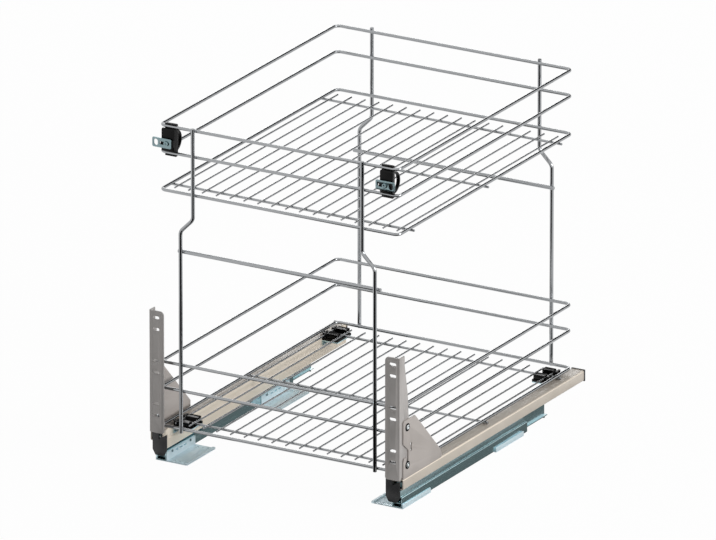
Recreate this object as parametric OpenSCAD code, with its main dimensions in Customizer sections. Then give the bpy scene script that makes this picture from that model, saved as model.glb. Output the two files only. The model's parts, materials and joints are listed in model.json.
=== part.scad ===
// Two tier wire basket that pulls out of a base cabinet on two full extension runners.
// X is the width, +Y points into the cabinet and +Z is up.
// The origin is on the cabinet floor, under the middle of the closed basket.
// Right hand pieces are drawn on the +X side, and left hand pieces are their mirror images.

/* [Overall] */
// Width over the outer faces of the basket rails
overall_w = 402; // [380:1:600]
// Depth from the door's rear face to the rear end of the basket rails
overall_d = 514.4; // [480:0.1:620]
// Clearance between pieces that touch but don't move
fit_gap = 0.1; // [0.05:0.05:0.3]
// Clearance between pieces that move past each other
run_gap = 0.3; // [0.2:0.05:0.6]

/* [Baskets] */
// Gap from the outer face of a basket rail to the centre line of the rail wires
basket_inset = 13; // [11:0.5:30]
// Setback of the front rail wires behind the door's rear face
basket_setback = 14.9; // [14:0.1:20]
// Depth of a basket over the centre lines of its rail wires
basket_d = 482; // [430:1:500]
// Wire size of the rails
rail_wire_d = 4.5; // [3.5:0.1:6]
// Wire size of the cross wires
cross_wire_d = 3.5; // [3:0.1:5]
// Wire size of the floor wires
floor_wire_d = 2.5; // [2:0.1:3]
// Radius of a rail's corners on its centre line
corner_r = 8; // [6:0.5:20]
// Height of the lower basket's floor rail
lower_floor_z = 52; // [52:0.5:55]
// Height of a middle rail wire over the floor rail
mid_rise = 56; // [40:1:70]
// Height of a top rail wire over the floor rail
top_rise = 94; // [80:1:130]
// Height from one basket's floor to the other's
tier_pitch = 345; // [300:1:400]
// Number of floor wires in a basket
floor_wires_n = 17; // [9:1:21]
// Gap from the side rail wire's centre line to the outermost floor wire
floor_side_gap = 12; // [8:0.5:20]
// Gap from the front and rear rail wires' centre lines to the ends of the floor wires
floor_end_gap = 17; // [12:0.5:25]
// Gap from the front and rear rail wires' centre lines to the outer cross wires
cross_setback = 36; // [32:0.5:45]
// How far a cross wire runs past the rail's centre line
cross_reach = 5; // [3:0.5:8]
// Depth that crossing wires melt into each other where they are welded
weld_sink = 0.2; // [0.1:0.05:0.4]

/* [Uprights] */
// Wire size of the uprights and crossbars
upright_d = 5.5; // [4:0.1:7]
// Gap from the side rail wire's centre line to an upright at the upper basket
upright_inset = 54; // [40:1:80]
// Sideways step of an upright between the baskets
jog = 20; // [5:1:25]
// Height of the crossbars
crossbar_z = 312; // [200:1:320]
// How far a crossbar runs past the uprights
crossbar_reach = 6.5; // [4:0.5:10]
// Height from the crossbar to the lower end of the jog
jog_rise = 31; // [20:1:40]
// Bend radius of the jog on the wire's centre line
jog_r = 12; // [8:1:20]
// How far an upright runs over the upper basket's top rail
upright_top = 4.5; // [2:0.5:10]
// How far an upright runs under the lower basket's floor rail
upright_bottom = 4; // [1:0.5:6]

/* [Basket rails] */
// Width of a basket rail
rail_w = 20; // [19:0.5:22]
// Height of the basket rail's top face over the cabinet floor
rail_top = 45.8; // [45.6:0.1:46]
// Sheet thickness of a basket rail
rail_t = 1.5; // [1.2:0.1:1.6]
// Height of the basket rail's outer wall
outer_wall_h = 15.5; // [14:0.5:18]
// Height of the basket rail's inner wall
inner_wall_h = 28; // [26:0.5:29]
// Width of the lip that turns in under the outer wall
lip_w = 5.5; // [4:0.5:6]
// Height of the stamped rib on the inner wall
rib_h = 4; // [3:0.5:5]
// Height from the inner wall's lower edge to the rib
rib_rise = 11; // [8:0.5:13]
// How far the rib stands out of the inner wall
rib_out = 1; // [0.5:0.1:1.2]
// Distance from the door's rear face to the front of a basket rail
rail_setback = 6.9; // [6.5:0.1:8]
// Thickness of the cap plate on the rear of a basket rail
rear_cap_t = 3; // [1:0.1:4]
// How far the rear cap stands proud of the basket rail
rear_cap_lip = 0.6; // [0:0.1:1]

/* [Middle rails] */
// Sheet thickness of a middle rail and a cabinet rail
slide_t = 1.2; // [1:0.1:1.3]
// Setback of the middle and cabinet rails behind the door's rear face
slide_setback = 12.9; // [12:0.1:15]
// Length of a middle rail
middle_len = 409; // [400:1:430]
// Width of a middle rail's lower flange
lower_flange_w = 11.2; // [10:0.1:11.2]
// Side clearance of a flange in its channel
flange_side_gap = 0.7; // [0.5:0.1:1]
// Travel of the baskets out of the cabinet
travel = 450; // [400:5:450]

/* [Cabinet rails] */
// Length of a cabinet rail
cabinet_len = 349; // [330:1:360]
// Gap from the outer face of the basket rail to the cabinet rail
cabinet_inset = 6; // [5.5:0.1:7]
// Height of the cabinet rail's outer wall up to its ledge
cabinet_outer_h = 15.1; // [14.6:0.1:15.4]
// Height of the cabinet rail's inner wall
cabinet_inner_h = 14.1; // [13:0.1:14.6]
// Width of the ledge on the outer wall
ledge_w = 3.5; // [3:0.1:3.8]
// Height of the wall that stands on the ledge
ledge_wall_h = 9.4; // [7:0.1:10]
// Chamfer on the rear end of the wall on the ledge
ledge_chamfer = 12; // [5:1:20]

/* [Rollers] */
// Diameter of a roller
roller_d = 3.8; // [3.4:0.1:4]
// Length of a lower roller
lower_roller_len = 8; // [6:0.5:8]
// Length of an upper roller
upper_roller_len = 10; // [8:0.5:11]
// Number of rollers in a cage
rollers_n = 10; // [6:1:10]
// Sheet thickness of a cage
cage_t = 1; // [0.8:0.1:1.4]
// Width of an upper cage
upper_cage_w = 14; // [13:0.5:14]
// Width of a lower cage
lower_cage_w = 11; // [10.5:0.1:11]
// Distance from the front of a cabinet rail to its stop
front_stop_y = 25.5; // [20:0.5:30]
// Distance from the rear stop of a middle rail to its rear end
rear_stop_gap = 3.5; // [2:0.5:6]
// Distance from the lower cage to the upper one
cage_shift = 45; // [30:1:48]
// Length of a glide block
glide_len = 14; // [10:1:20]

/* [Feet] */
// Sheet thickness of a foot
foot_t = 1.5; // [1:0.1:2]
// Width of a foot
foot_w = 50; // [46:1:60]
// Length of a foot along the rail
foot_len = 77; // [70:1:90]
// Height of the lip that stands outside the cabinet rail
foot_lip_h = 6.9; // [3:0.1:8]
// Distance from the front of the cabinet rail to the front foot
front_foot_y = 0.5; // [-5:0.1:10]
// Distance from the front foot to the rear foot
feet_pitch = 258.9; // [240:0.1:265]
// Height of the leg that stands beside the cabinet rail
leg_h = 14; // [13:0.1:15.5]
// Diameter of the screw holes in a foot
foot_hole_d = 4.4; // [3:0.1:5.5]
// Spacing of the screw holes across a foot
foot_hole_dx = 16; // [14:0.5:18]
// Spacing of the screw holes along a foot
foot_hole_dy = 62; // [50:1:66]
// Gap from the foot's inner edge to its first screw hole
foot_hole_edge = 8; // [5:0.5:10]
// Width of the folded hem on the foot's inner edge
hem_w = 4; // [3:0.5:5]

/* [Gusset plates] */
// Sheet thickness of a gusset plate
gusset_t = 2; // [1.5:0.1:2.5]
// Height of a gusset plate over the basket rail
gusset_h = 84.7; // [78:0.1:95]
// Depth of a gusset plate along its top edge
gusset_top_d = 32.2; // [30:0.1:45]
// Depth of the sloping edge of a gusset plate
gusset_slope = 73; // [60:1:90]
// Height of a gusset plate's rear edge
gusset_rear_h = 10; // [5:0.5:20]
// Gap from the door's rear face to a gusset plate
gusset_setback = 7; // [6.5:0.1:8]
// Height over the basket rail of the mouth that takes the pivot screw
mouth_rise = 30; // [26:0.5:32]
// Height of the mouth at its rear end
mouth_h = 9.5; // [8:0.5:12]
// Extra height of the mouth at its front end
mouth_flare = 12; // [6:0.5:14]
// Length of the tab that a gusset plate stands on
tab_len = 31; // [28:0.5:32]
// Width of the tab that a gusset plate stands on
tab_w = 14; // [12:0.5:14]

/* [Door brackets] */
// Sheet thickness of a door bracket
bracket_t = 2; // [1.5:0.1:2.5]
// Height of a door bracket
bracket_h = 178.6; // [160:0.1:200]
// Width of a door bracket's front flange
bracket_w = 23; // [22:0.1:28]
// Depth of a door bracket's side flange beside the gusset plate
bracket_d = 24.9; // [23:0.1:26]
// Depth of a door bracket's side flange at the middle of its height
bracket_mid_d = 22.4; // [16:0.1:23]
// Depth of a door bracket's side flange at its upper end
bracket_top_d = 13.9; // [10:0.1:16]
// Height of the slope between the upper and middle depths
bracket_slope = 44; // [20:1:50]
// Gap from the bracket's upper end to the slope
bracket_slope_drop = 13.8; // [5:0.1:20]
// Radius of a door bracket's upper corner
bracket_r = 6; // [3:0.5:9]
// Length of a slot for a door screw
slot_len = 11; // [8:0.5:12]
// Width of a slot for a door screw
slot_w = 4.6; // [4:0.1:5.5]
// Spacing of the two slots of a pair
slot_dz = 17; // [12:0.5:18]
// Spacing of the pairs of slots
slot_pitch = 63; // [50:1:64]
// Gap from the bracket's lower end to its first slot
slot_rise = 25.8; // [20:0.1:28]
// Setback of the bracket screws behind the door's rear face
screw_y = 18; // [17:0.1:19]
// Height of the pivot screw over the basket rail
pivot_rise = 18.6; // [14:0.1:20]
// Spacing of the bracket screws
screw_pitch = 55; // [50:0.5:58]
// Thread diameter of a bracket screw
screw_d = 5; // [4:0.5:6]
// Head diameter of a bracket screw
head_d = 7.6; // [7:0.1:9]
// Head height of a bracket screw
head_h = 1.6; // [1:0.1:2.5]

/* [Basket clips] */
// Length of a basket clip along the rail
clip_len = 38; // [34:0.5:40]
// Width of a basket clip
clip_w = 25; // [24:0.5:25]
// Thickness of a basket clip's base
clip_base_t = 3.2; // [2:0.1:3.4]
// Height of a basket clip's blocks over the cross wire's centre
block_rise = 5.2; // [3:0.1:5.4]
// Length of a basket clip's blocks along the rail
block_len = 10; // [8:0.5:12]
// Gap from the clip's inner edge to its blocks
block_inset = 1.5; // [1.2:0.1:2.5]
// Wall of the jaws that hold the cross wire
jaw_wall = 2; // [1.5:0.1:3]
// Sheet thickness of the tab under a basket clip
clip_tab_t = 1.5; // [1:0.1:2]
// Height of the leg of the tab under a basket clip
clip_leg_h = 7.8; // [6.5:0.1:8]

/* [Top clips] */
// Width of a top clip
top_clip_w = 20; // [18:0.5:22]
// Gap from the side rail wire's centre line to a top clip's centre
top_clip_inset = 15.3; // [14:0.1:17]
// Wall of a top clip round the rail wires
top_clip_wall = 2.1; // [1.8:0.1:2.4]
// Width of a door plate
plate_w = 30; // [28:0.5:34]
// Height of a door plate
plate_h = 14; // [12:0.5:18]
// Thickness of a door plate
plate_t = 1.6; // [1.2:0.1:2]
// Gap from the door's rear face to the plane of the door plates
plate_setback = 3.8; // [2:0.1:6]
// Head height of a door plate's clamp screw
plate_head_h = 1.4; // [1:0.1:1.8]
// Height of a door plate's centre over the upper floor rail
plate_rise = 72; // [68:0.5:80]
// Thread diameter of a clamp screw
clamp_d = 4; // [3:0.1:5]
// Distance from the clamp screw out to the right hand door plate's centre
right_plate_shift = 0.7; // [-1:0.1:5]
// Distance from the clamp screw out to the left hand door plate's centre
left_plate_shift = 7.1; // [3:0.1:9]

/* [Hidden] */
$fn = 32;

// The door's rear face and the outer faces of the basket rails
front_y = -overall_d / 2;
rear_y = overall_d / 2;
side_x = overall_w / 2;

// Baskets
basket_x = side_x - basket_inset;
basket_front = front_y + basket_setback;
basket_rear = basket_front + basket_d;
basket_y = (basket_front + basket_rear) / 2;
floor_pitch = 2 * (basket_x - floor_side_gap) / (floor_wires_n - 1);
first_floor_x = floor_side_gap - basket_x;
floor_wire_len = basket_d - 2 * floor_end_gap;
cross_offset = basket_d / 2 - cross_setback;
upper_floor_z = lower_floor_z + tier_pitch;
cross_drop = (rail_wire_d + cross_wire_d) / 2 - weld_sink;
floor_drop = cross_drop - (cross_wire_d + floor_wire_d) / 2 + weld_sink;

// Uprights
upright_out = (rail_wire_d + upright_d) / 2 - weld_sink;
crossbar_in = upright_out - upright_d + weld_sink;
upright_x = basket_x - upright_inset;
lower_upright_x = upright_x + jog;
jog_bottom = crossbar_z + jog_rise;
jog_top = jog_bottom + jog;
jog_tangent = jog_r * tan(22.5);
upright_top_z = upper_floor_z + top_rise + upright_top;
upright_bottom_z = lower_floor_z - upright_bottom;

// Basket rails
rail_inner_x = side_x - rail_w;
rail_front = front_y + rail_setback;
rail_rear = rear_y - rear_cap_t;
rail_under = rail_top - rail_t;
lip_z = rail_top - outer_wall_h;
inner_z = rail_top - inner_wall_h;
rib_z = inner_z + rib_rise;

// Caps of the basket rails
cap_front = rail_front - 2.8;
cap_overhang = 6.7;
cap_w = 22;
cap_low = 11.2;
cap_drop = 0.8;
cap_far_drop = 1.4;
cap_chamfer_w = 4.5;
cap_chamfer_h = 8;
prong_w = 9.8;
notch_h = 10.3;
cap_plug_h = 14;
cap_plug_len = 10;

// Cabinet rails
slide_front = front_y + slide_setback;
cabinet_rear = slide_front + cabinet_len;
cabinet_out_x = side_x - cabinet_inset;
cabinet_w = lower_flange_w + 2 * flange_side_gap + 2 * slide_t;
cabinet_in_x = cabinet_out_x - cabinet_w;
cabinet_floor = foot_t + slide_t;
ledge_top = foot_t + cabinet_outer_h;
ledge_x = cabinet_out_x - ledge_w;

// Middle rails
middle_rear = slide_front + middle_len;
lower_flange_x = cabinet_in_x + slide_t + flange_side_gap;
lower_flange_z = cabinet_floor + roller_d + 2 * run_gap;
upper_flange_top = rail_under - roller_d - 2 * run_gap;
upper_flange_z = upper_flange_top - slide_t;
upper_flange_x = rail_inner_x + rail_t + flange_side_gap;
upper_flange_w = rail_w - 2 * rail_t - 2 * flange_side_gap;
web_x = lower_flange_x + (lower_flange_w - 2 * slide_t) / 2 - 0.5;

// Rollers and cages
lower_roller_z = cabinet_floor + run_gap + roller_d / 2;
upper_roller_z = rail_under - run_gap - roller_d / 2;
lower_channel_x = lower_flange_x + lower_flange_w / 2;
upper_channel_x = upper_flange_x + upper_flange_w / 2;
stop_gap = 1;
stop_t = 1.5;
stop_w = 7;
glide_setback = 4;
cage_stroke = travel / 4 + stop_gap;
cage_len = middle_len - front_stop_y - rear_stop_gap - 2 * (cage_stroke + stop_t);
roller_pitch = cage_len / rollers_n;
lower_cage_front = slide_front + front_stop_y + stop_t + cage_stroke;
upper_cage_front = lower_cage_front + cage_shift;
basket_stop_y = upper_cage_front + cage_len + cage_stroke;

// Feet
foot_out_x = cabinet_out_x + fit_gap + foot_t;
foot_in_x = foot_out_x - foot_w;
leg_x = cabinet_in_x - foot_t;
foot_rivet_d = 3;
foot_rivet_z = leg_h - 2;
foot_rivet_edge = 14;
foot_rivet_head = 0.9;
leg_slot_pitch = 11;
leg_slot_len = 7;
leg_slot_w = 2.2;
front_foot_front = slide_front + front_foot_y;
rear_foot_front = front_foot_front + feet_pitch;

// Gusset plates and door brackets
plate_x = side_x - gusset_t;
gusset_front = front_y + gusset_setback;
gusset_top = rail_top + gusset_h;
gusset_corner = gusset_front + gusset_top_d;
tab_rear = basket_y - cross_offset - cross_wire_d / 2 - 2.5;
tab_front = tab_rear - tab_len;
gusset_rivet_d = 4;
gusset_rivet_head = 1.1;
gusset_rivet_front = 9;
gusset_rivet_rear = 6;
plate_corner = 2.5;
keyhole_d = 5;
keyhole_rise = 4;
keyhole_w = 3;
keyhole_gap = 3.5;
bracket_z = rail_top - 0.6;
bracket_top = bracket_z + bracket_h;
bracket_x = plate_x - fit_gap;
bracket_in_x = bracket_x - bracket_w;
bracket_step = 4;
slot_x = bracket_in_x + bracket_w / 2 + 0.5;
pivot_y = front_y + screw_y;
pivot_z = rail_top + pivot_rise;
clamp_z = pivot_z + screw_pitch;
nut_t = 2.5;
nut_d = 8;

// Basket clips
clip_z = lower_floor_z - cross_drop - cross_wire_d / 2 - run_gap;
clip_out_x = rail_inner_x - fit_gap;
clip_in_x = clip_out_x - clip_w;
shelf_z = clip_z - clip_base_t - fit_gap;
stud_d = 5;
clip_rivet_d = 4;
clip_rivet_head_d = 5.6;
clip_rivet_head = 1;
clip_rivet_z = shelf_z - clip_tab_t - fit_gap - clip_rivet_head_d / 2;
clip_rivet_pitch = 20;
clip_end = 1.5;
clip_shift = 2;
clip_front = clip_shift - clip_len / 2;
clip_rear = clip_shift + clip_len / 2;
stud_y = clip_len / 4;
snap = 0.3;

// Top clips and door plates
top_clip_x = basket_x - top_clip_inset;
clamp_x = top_clip_x;
top_z = upper_floor_z + top_rise;
mid_z = upper_floor_z + mid_rise;
wire_r = rail_wire_d / 2 + fit_gap;
plate_y = front_y + plate_setback;
boss_front = plate_y + plate_t + fit_gap;
boss_w = 20;
boss_h = 10;
top_clip_front = basket_front - 6.5;
top_clip_back = basket_front + wire_r + top_clip_wall;
top_clip_round = 1.5;
clamp_end = basket_front + 1;
lever_r = 16;
lever_t = 2.2;
lever_w = 5;
lever_shift = 4.5;
lever_z = (top_z + mid_z) / 2 - 2;
plate_z = upper_floor_z + plate_rise;
plate_slot_len = 15;
plate_slot_w = clamp_d + 2 * run_gap;
plate_slot_shift = 3.9;
door_slot_h = 9.2;
door_slot_w = 6.4;
door_slot_edge = 5.7;

// Colours
chrome = "#d8dadc";
champagne = "#b4ada8";
zinc = "#7c9296";
bracket_grey = "#838487";
plastic = "#161616";
nylon = "#e8e6df";

// Draws a child on the right side when side is 1 and mirrors it when side is -1
module on_side(side) {
    mirror([side < 0 ? 1 : 0, 0, 0]) children();
}

// Extrudes an outline of X and Z along Y, from y0 to y1
module along_y(y0, y1) {
    translate([0, y1, 0]) rotate([90, 0, 0]) linear_extrude(y1 - y0) children();
}

// Extrudes an outline of Y and Z along X, from x0 to x1
module along_x(x0, x1) {
    translate([x0, 0, 0]) rotate([90, 0, 90]) linear_extrude(x1 - x0) children();
}

// A round bar along X that starts at a point
module bar_x(at, length, d) {
    translate(at) rotate([0, 90, 0]) cylinder(h = length, d = d);
}

// A round bar along Y that starts at a point
module bar_y(at, length, d) {
    translate(at) rotate([-90, 0, 0]) cylinder(h = length, d = d);
}

// A block from one corner to the opposite one
module block(a, b) {
    translate(a) cube(b - a);
}

// Outline of a slot with round ends along X
module slot_outline(length, w) {
    square([length - w, w], center = true);
    for (s = [-1, 1]) translate([s * (length - w) / 2, 0]) circle(d = w);
}

// ---- cabinet rails ----

module cabinet_rail_outline() {
    upper_top = ledge_top + ledge_wall_h;
    polygon([
        [cabinet_in_x, foot_t],
        [cabinet_out_x, foot_t],
        [cabinet_out_x, ledge_top],
        [ledge_x + slide_t, ledge_top],
        [ledge_x + slide_t, upper_top],
        [ledge_x, upper_top],
        [ledge_x, ledge_top - slide_t],
        [cabinet_out_x - slide_t, ledge_top - slide_t],
        [cabinet_out_x - slide_t, cabinet_floor],
        [cabinet_in_x + slide_t, cabinet_floor],
        [cabinet_in_x + slide_t, foot_t + cabinet_inner_h],
        [cabinet_in_x, foot_t + cabinet_inner_h]
    ]);
}

module cabinet_rail(side) {
    stop_y = lower_cage_front - cage_stroke;
    color(zinc) on_side(side) {
        difference() {
            along_y(slide_front, cabinet_rear) cabinet_rail_outline();
            along_x(ledge_x - 1, ledge_x + slide_t + 1) polygon([
                [cabinet_rear - ledge_chamfer, ledge_top + ledge_wall_h + 1],
                [cabinet_rear + 1, ledge_top + ledge_wall_h + 1],
                [cabinet_rear + 1, ledge_top + 0.5],
                [cabinet_rear - 1, ledge_top + 0.5]
            ]);
            foot_rivet_holes(front_foot_front);
            foot_rivet_holes(rear_foot_front);
        }
        block([lower_channel_x - stop_w / 2, stop_y - stop_t, cabinet_floor - 0.1],
              [lower_channel_x + stop_w / 2, stop_y, lower_roller_z + 0.6]);
    }
}

// ---- feet ----

module foot_rivet_holes(y0) {
    for (y = [y0 + foot_rivet_edge, y0 + foot_len - foot_rivet_edge])
        bar_x([leg_x - 1, y, foot_rivet_z], foot_t + slide_t + 2, foot_rivet_d + fit_gap);
}

module foot(side, y0) {
    first_x = foot_in_x + foot_hole_edge;
    mid_y = y0 + foot_len / 2;
    color(zinc) on_side(side) difference() {
        union() {
            block([foot_in_x, y0, 0], [foot_out_x, y0 + foot_len, foot_t]);
            block([foot_in_x, y0, foot_t], [foot_in_x + hem_w, y0 + foot_len, 2 * foot_t]);
            block([leg_x, y0, foot_t], [cabinet_in_x - fit_gap / 2, y0 + foot_len, leg_h]);
            block([cabinet_out_x + fit_gap, y0, foot_t], [foot_out_x, y0 + foot_len, foot_lip_h]);
        }
        for (x = [first_x, first_x + foot_hole_dx], s = [-1, 1])
            translate([x, mid_y + s * foot_hole_dy / 2, -1]) cylinder(h = foot_t + 2, d = foot_hole_d);
        for (s = [-1, 1])
            translate([first_x + foot_hole_dx / 2, mid_y + s * foot_hole_dy / 2, -1])
                cylinder(h = foot_t + 2, d = foot_hole_d * 0.6);
        foot_rivet_holes(y0);
        for (s = [-1, 0, 1])
            along_x(leg_x - 1, cabinet_in_x) translate([mid_y + s * leg_slot_pitch, foot_rivet_z - 2])
                slot_outline(leg_slot_len, leg_slot_w);
    }
}

module foot_rivets() {
    color(zinc) for (side = [-1, 1]) on_side(side)
        for (y0 = [front_foot_front, rear_foot_front])
            for (y = [y0 + foot_rivet_edge, y0 + foot_len - foot_rivet_edge]) {
                bar_x([leg_x, y, foot_rivet_z], foot_t + slide_t, foot_rivet_d);
                bar_x([leg_x - foot_rivet_head, y, foot_rivet_z], foot_rivet_head, foot_rivet_d * 1.3);
            }
}

// ---- middle rails, cages and glides ----

module middle_rail(side) {
    rear_stop = lower_cage_front + cage_len + cage_stroke;
    front_stop = upper_cage_front - cage_stroke;
    color(zinc) on_side(side) {
        along_y(slide_front, middle_rear) {
            translate([lower_flange_x, lower_flange_z]) square([lower_flange_w, slide_t]);
            translate([web_x, lower_flange_z]) square([2 * slide_t, upper_flange_top - lower_flange_z]);
            translate([upper_flange_x, upper_flange_z]) square([upper_flange_w, slide_t]);
        }
        block([lower_channel_x - stop_w / 2, rear_stop, cabinet_floor + 0.9],
              [lower_channel_x + stop_w / 2, rear_stop + stop_t, lower_flange_z + 0.1]);
        block([upper_channel_x - stop_w / 2, front_stop - stop_t, upper_flange_top - 0.1],
              [upper_channel_x + stop_w / 2, front_stop, rail_under - 0.9]);
    }
}

module lower_glide(side) {
    rear = cabinet_rear - glide_setback;
    color(nylon) on_side(side)
        block([web_x + 2 * slide_t + fit_gap, rear - glide_len, lower_flange_z + slide_t],
              [cabinet_out_x - slide_t - run_gap, rear, ledge_top - slide_t - run_gap]);
}

module upper_glide(side) {
    rear = middle_rear - glide_setback;
    color(nylon) on_side(side)
        block([side_x - lip_w + fit_gap, rear - glide_len, lip_z + rail_t],
              [side_x - rail_t - fit_gap, rear, upper_flange_z - run_gap]);
}

// Places a child at each roller of a cage
module at_rollers(y0) {
    for (i = [0 : rollers_n - 1])
        translate([0, y0 + cage_len / 2 + (i - (rollers_n - 1) / 2) * roller_pitch, 0]) children();
}

module roller_cage(side, y0, x, z, w, roller_len) {
    window = [roller_len + 2 * run_gap, roller_d + 2 * run_gap, cage_t + 2];
    color(zinc) on_side(side) difference() {
        block([x - w / 2, y0, z - cage_t / 2], [x + w / 2, y0 + cage_len, z + cage_t / 2]);
        at_rollers(y0) translate([x, 0, z]) cube(window, center = true);
    }
}

module rollers(side, y0, x, z, roller_len) {
    color(nylon) on_side(side) at_rollers(y0) bar_x([x - roller_len / 2, 0, z], roller_len, roller_d);
}

// ---- basket rails ----

module basket_rail_outline() {
    polygon([
        [rail_inner_x, rail_top],
        [rail_inner_x, rib_z + rib_h],
        [rail_inner_x - rib_out, rib_z + rib_h - rib_out],
        [rail_inner_x - rib_out, rib_z + rib_out],
        [rail_inner_x, rib_z],
        [rail_inner_x, inner_z],
        [rail_inner_x + rail_t, inner_z],
        [rail_inner_x + rail_t, rib_z],
        [rail_inner_x + rail_t - rib_out, rib_z + rib_out],
        [rail_inner_x + rail_t - rib_out, rib_z + rib_h - rib_out],
        [rail_inner_x + rail_t, rib_z + rib_h],
        [rail_inner_x + rail_t, rail_under],
        [side_x - rail_t, rail_under],
        [side_x - rail_t, lip_z + rail_t],
        [side_x - lip_w, lip_z + rail_t],
        [side_x - lip_w, lip_z],
        [side_x, lip_z],
        [side_x, rail_top]
    ]);
}

module basket_rail(side) {
    color(champagne) on_side(side) {
        difference() {
            along_y(rail_front, rail_rear) basket_rail_outline();
            at_gusset_rivets() translate([0, 0, rail_under - 1])
                cylinder(h = rail_t + 2, d = gusset_rivet_d + fit_gap);
            at_clips() clip_rivet_bars(clip_rivet_d + fit_gap, 1);
        }
        block([upper_channel_x - stop_w / 2, basket_stop_y, upper_flange_top + 0.9],
              [upper_channel_x + stop_w / 2, basket_stop_y + stop_t, rail_under + 0.1]);
    }
}

// The prong stands on the same side of both front caps, because they are one moulding
module front_cap(side) {
    cap_in = rail_inner_x - cap_overhang;
    cap_out = cap_in + cap_w;
    prong_x = side > 0 ? cap_in : cap_out;
    far_x = side > 0 ? cap_out : cap_in;
    step = side > 0 ? 1 : -1;
    prong_top = rail_top - cap_drop;
    far_top = prong_top - cap_far_drop;
    color(plastic) on_side(side) {
        along_y(cap_front, rail_front - fit_gap) difference() {
            polygon([
                [cap_in + cap_chamfer_w, cap_low],
                [cap_out - cap_chamfer_w, cap_low],
                [cap_out, cap_low + cap_chamfer_h],
                [cap_out, side > 0 ? far_top : prong_top],
                [cap_in, side > 0 ? prong_top : far_top],
                [cap_in, cap_low + cap_chamfer_h]
            ]);
            polygon([
                [prong_x + step * prong_w, rail_top + 1],
                [prong_x + step * prong_w, prong_top - notch_h],
                [far_x + step, far_top],
                [far_x + step, rail_top + 1]
            ]);
        }
        block([rail_inner_x + rail_t + fit_gap, cap_front + 1, lip_z - cap_plug_h / 2],
              [web_x - run_gap, rail_front + cap_plug_len, lip_z + cap_plug_h / 2]);
    }
}

// The cap is open underneath, so that the middle rail can pass through it
module rear_cap(side) {
    open_top = upper_flange_top + run_gap;
    open_x = upper_flange_x - run_gap;
    open_w = upper_flange_w + 2 * run_gap;
    plug_front = max(rail_rear - cap_plug_len, basket_stop_y + stop_t + fit_gap);
    color(plastic) on_side(side) {
        along_y(rail_rear + fit_gap, rear_y) difference() {
            translate([rail_inner_x - rear_cap_lip, lip_z - rear_cap_lip])
                square([rail_w + 2 * rear_cap_lip, outer_wall_h + 2 * rear_cap_lip]);
            translate([open_x, lip_z - rear_cap_lip - 1])
                square([open_w, open_top - lip_z + rear_cap_lip + 1]);
        }
        block([open_x + 1, plug_front, open_top],
              [open_x + open_w - 1, rear_y, rail_under - fit_gap]);
    }
}

// ---- basket clips ----

// Places a child at the front and rear clips of one side
module at_clips() {
    for (s = [-1, 1]) translate([0, basket_y + s * cross_offset, 0]) children();
}

// Bars through the leg of a clip tab and the rail's inner wall
module clip_rivet_bars(d, extra) {
    for (s = [-1, 1])
        bar_x([clip_out_x - clip_tab_t - extra, s * clip_rivet_pitch / 2, clip_rivet_z],
              clip_tab_t + fit_gap + rail_t + 2 * extra, d);
}

module clip_tabs() {
    color(zinc) for (side = [-1, 1]) on_side(side) at_clips() difference() {
        union() {
            block([clip_in_x, clip_front, shelf_z - clip_tab_t], [clip_out_x, clip_rear, shelf_z]);
            block([clip_out_x - clip_tab_t, clip_front, shelf_z - clip_leg_h],
                  [clip_out_x, clip_rear, shelf_z]);
        }
        clip_rivet_bars(clip_rivet_d + fit_gap, 1);
        translate([clip_in_x + clip_w / 2, stud_y, shelf_z - clip_tab_t - 1])
            cylinder(h = clip_tab_t + 2, d = stud_d + 2 * fit_gap);
    }
}

module clip_rivets() {
    color(zinc) for (side = [-1, 1]) on_side(side) at_clips() {
        clip_rivet_bars(clip_rivet_d, 0);
        for (s = [-1, 1])
            bar_x([clip_out_x - clip_tab_t - clip_rivet_head, s * clip_rivet_pitch / 2, clip_rivet_z],
                  clip_rivet_head, clip_rivet_head_d);
    }
}

// The two blocks stand before and behind the cross wire's jaws, and are grooved for the floor wires
module basket_clips() {
    wire_z = lower_floor_z - cross_drop;
    block_x = clip_in_x + block_inset;
    block_top = wire_z + block_rise;
    jaw_y = cross_wire_d / 2 + jaw_wall;
    jaw_top = wire_z + cross_wire_d / 2 - snap;
    groove_w = floor_wire_d + 2 * run_gap;
    over = block_top + 1;
    color(plastic) for (side = [-1, 1]) on_side(side) at_clips() {
        difference() {
            union() {
                block([clip_in_x, clip_front, clip_z - clip_base_t], [clip_out_x, clip_rear, clip_z]);
                block([block_x, -jaw_y, clip_z - 0.1], [clip_out_x, jaw_y, jaw_top]);
                for (y = [clip_front + clip_end, clip_rear - clip_end - block_len])
                    block([block_x, y, clip_z - 0.1], [clip_out_x, y + block_len, block_top]);
            }
            bar_x([clip_in_x - 1, 0, wire_z], clip_w + 2, cross_wire_d + 2 * fit_gap);
            block([clip_in_x - 1, snap - cross_wire_d / 2, wire_z],
                  [clip_out_x + 1, cross_wire_d / 2 - snap, over]);
            for (i = [0 : floor_wires_n - 1])
                translate([first_floor_x + i * floor_pitch, 0, 0])
                    block([-groove_w / 2, clip_front - 1, clip_z], [groove_w / 2, clip_rear + 1, over]);
        }
        translate([clip_in_x + clip_w / 2, stud_y, shelf_z - clip_tab_t - 0.8])
            cylinder(h = clip_tab_t + fit_gap + 1, d = stud_d);
    }
}

// ---- baskets ----

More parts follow.
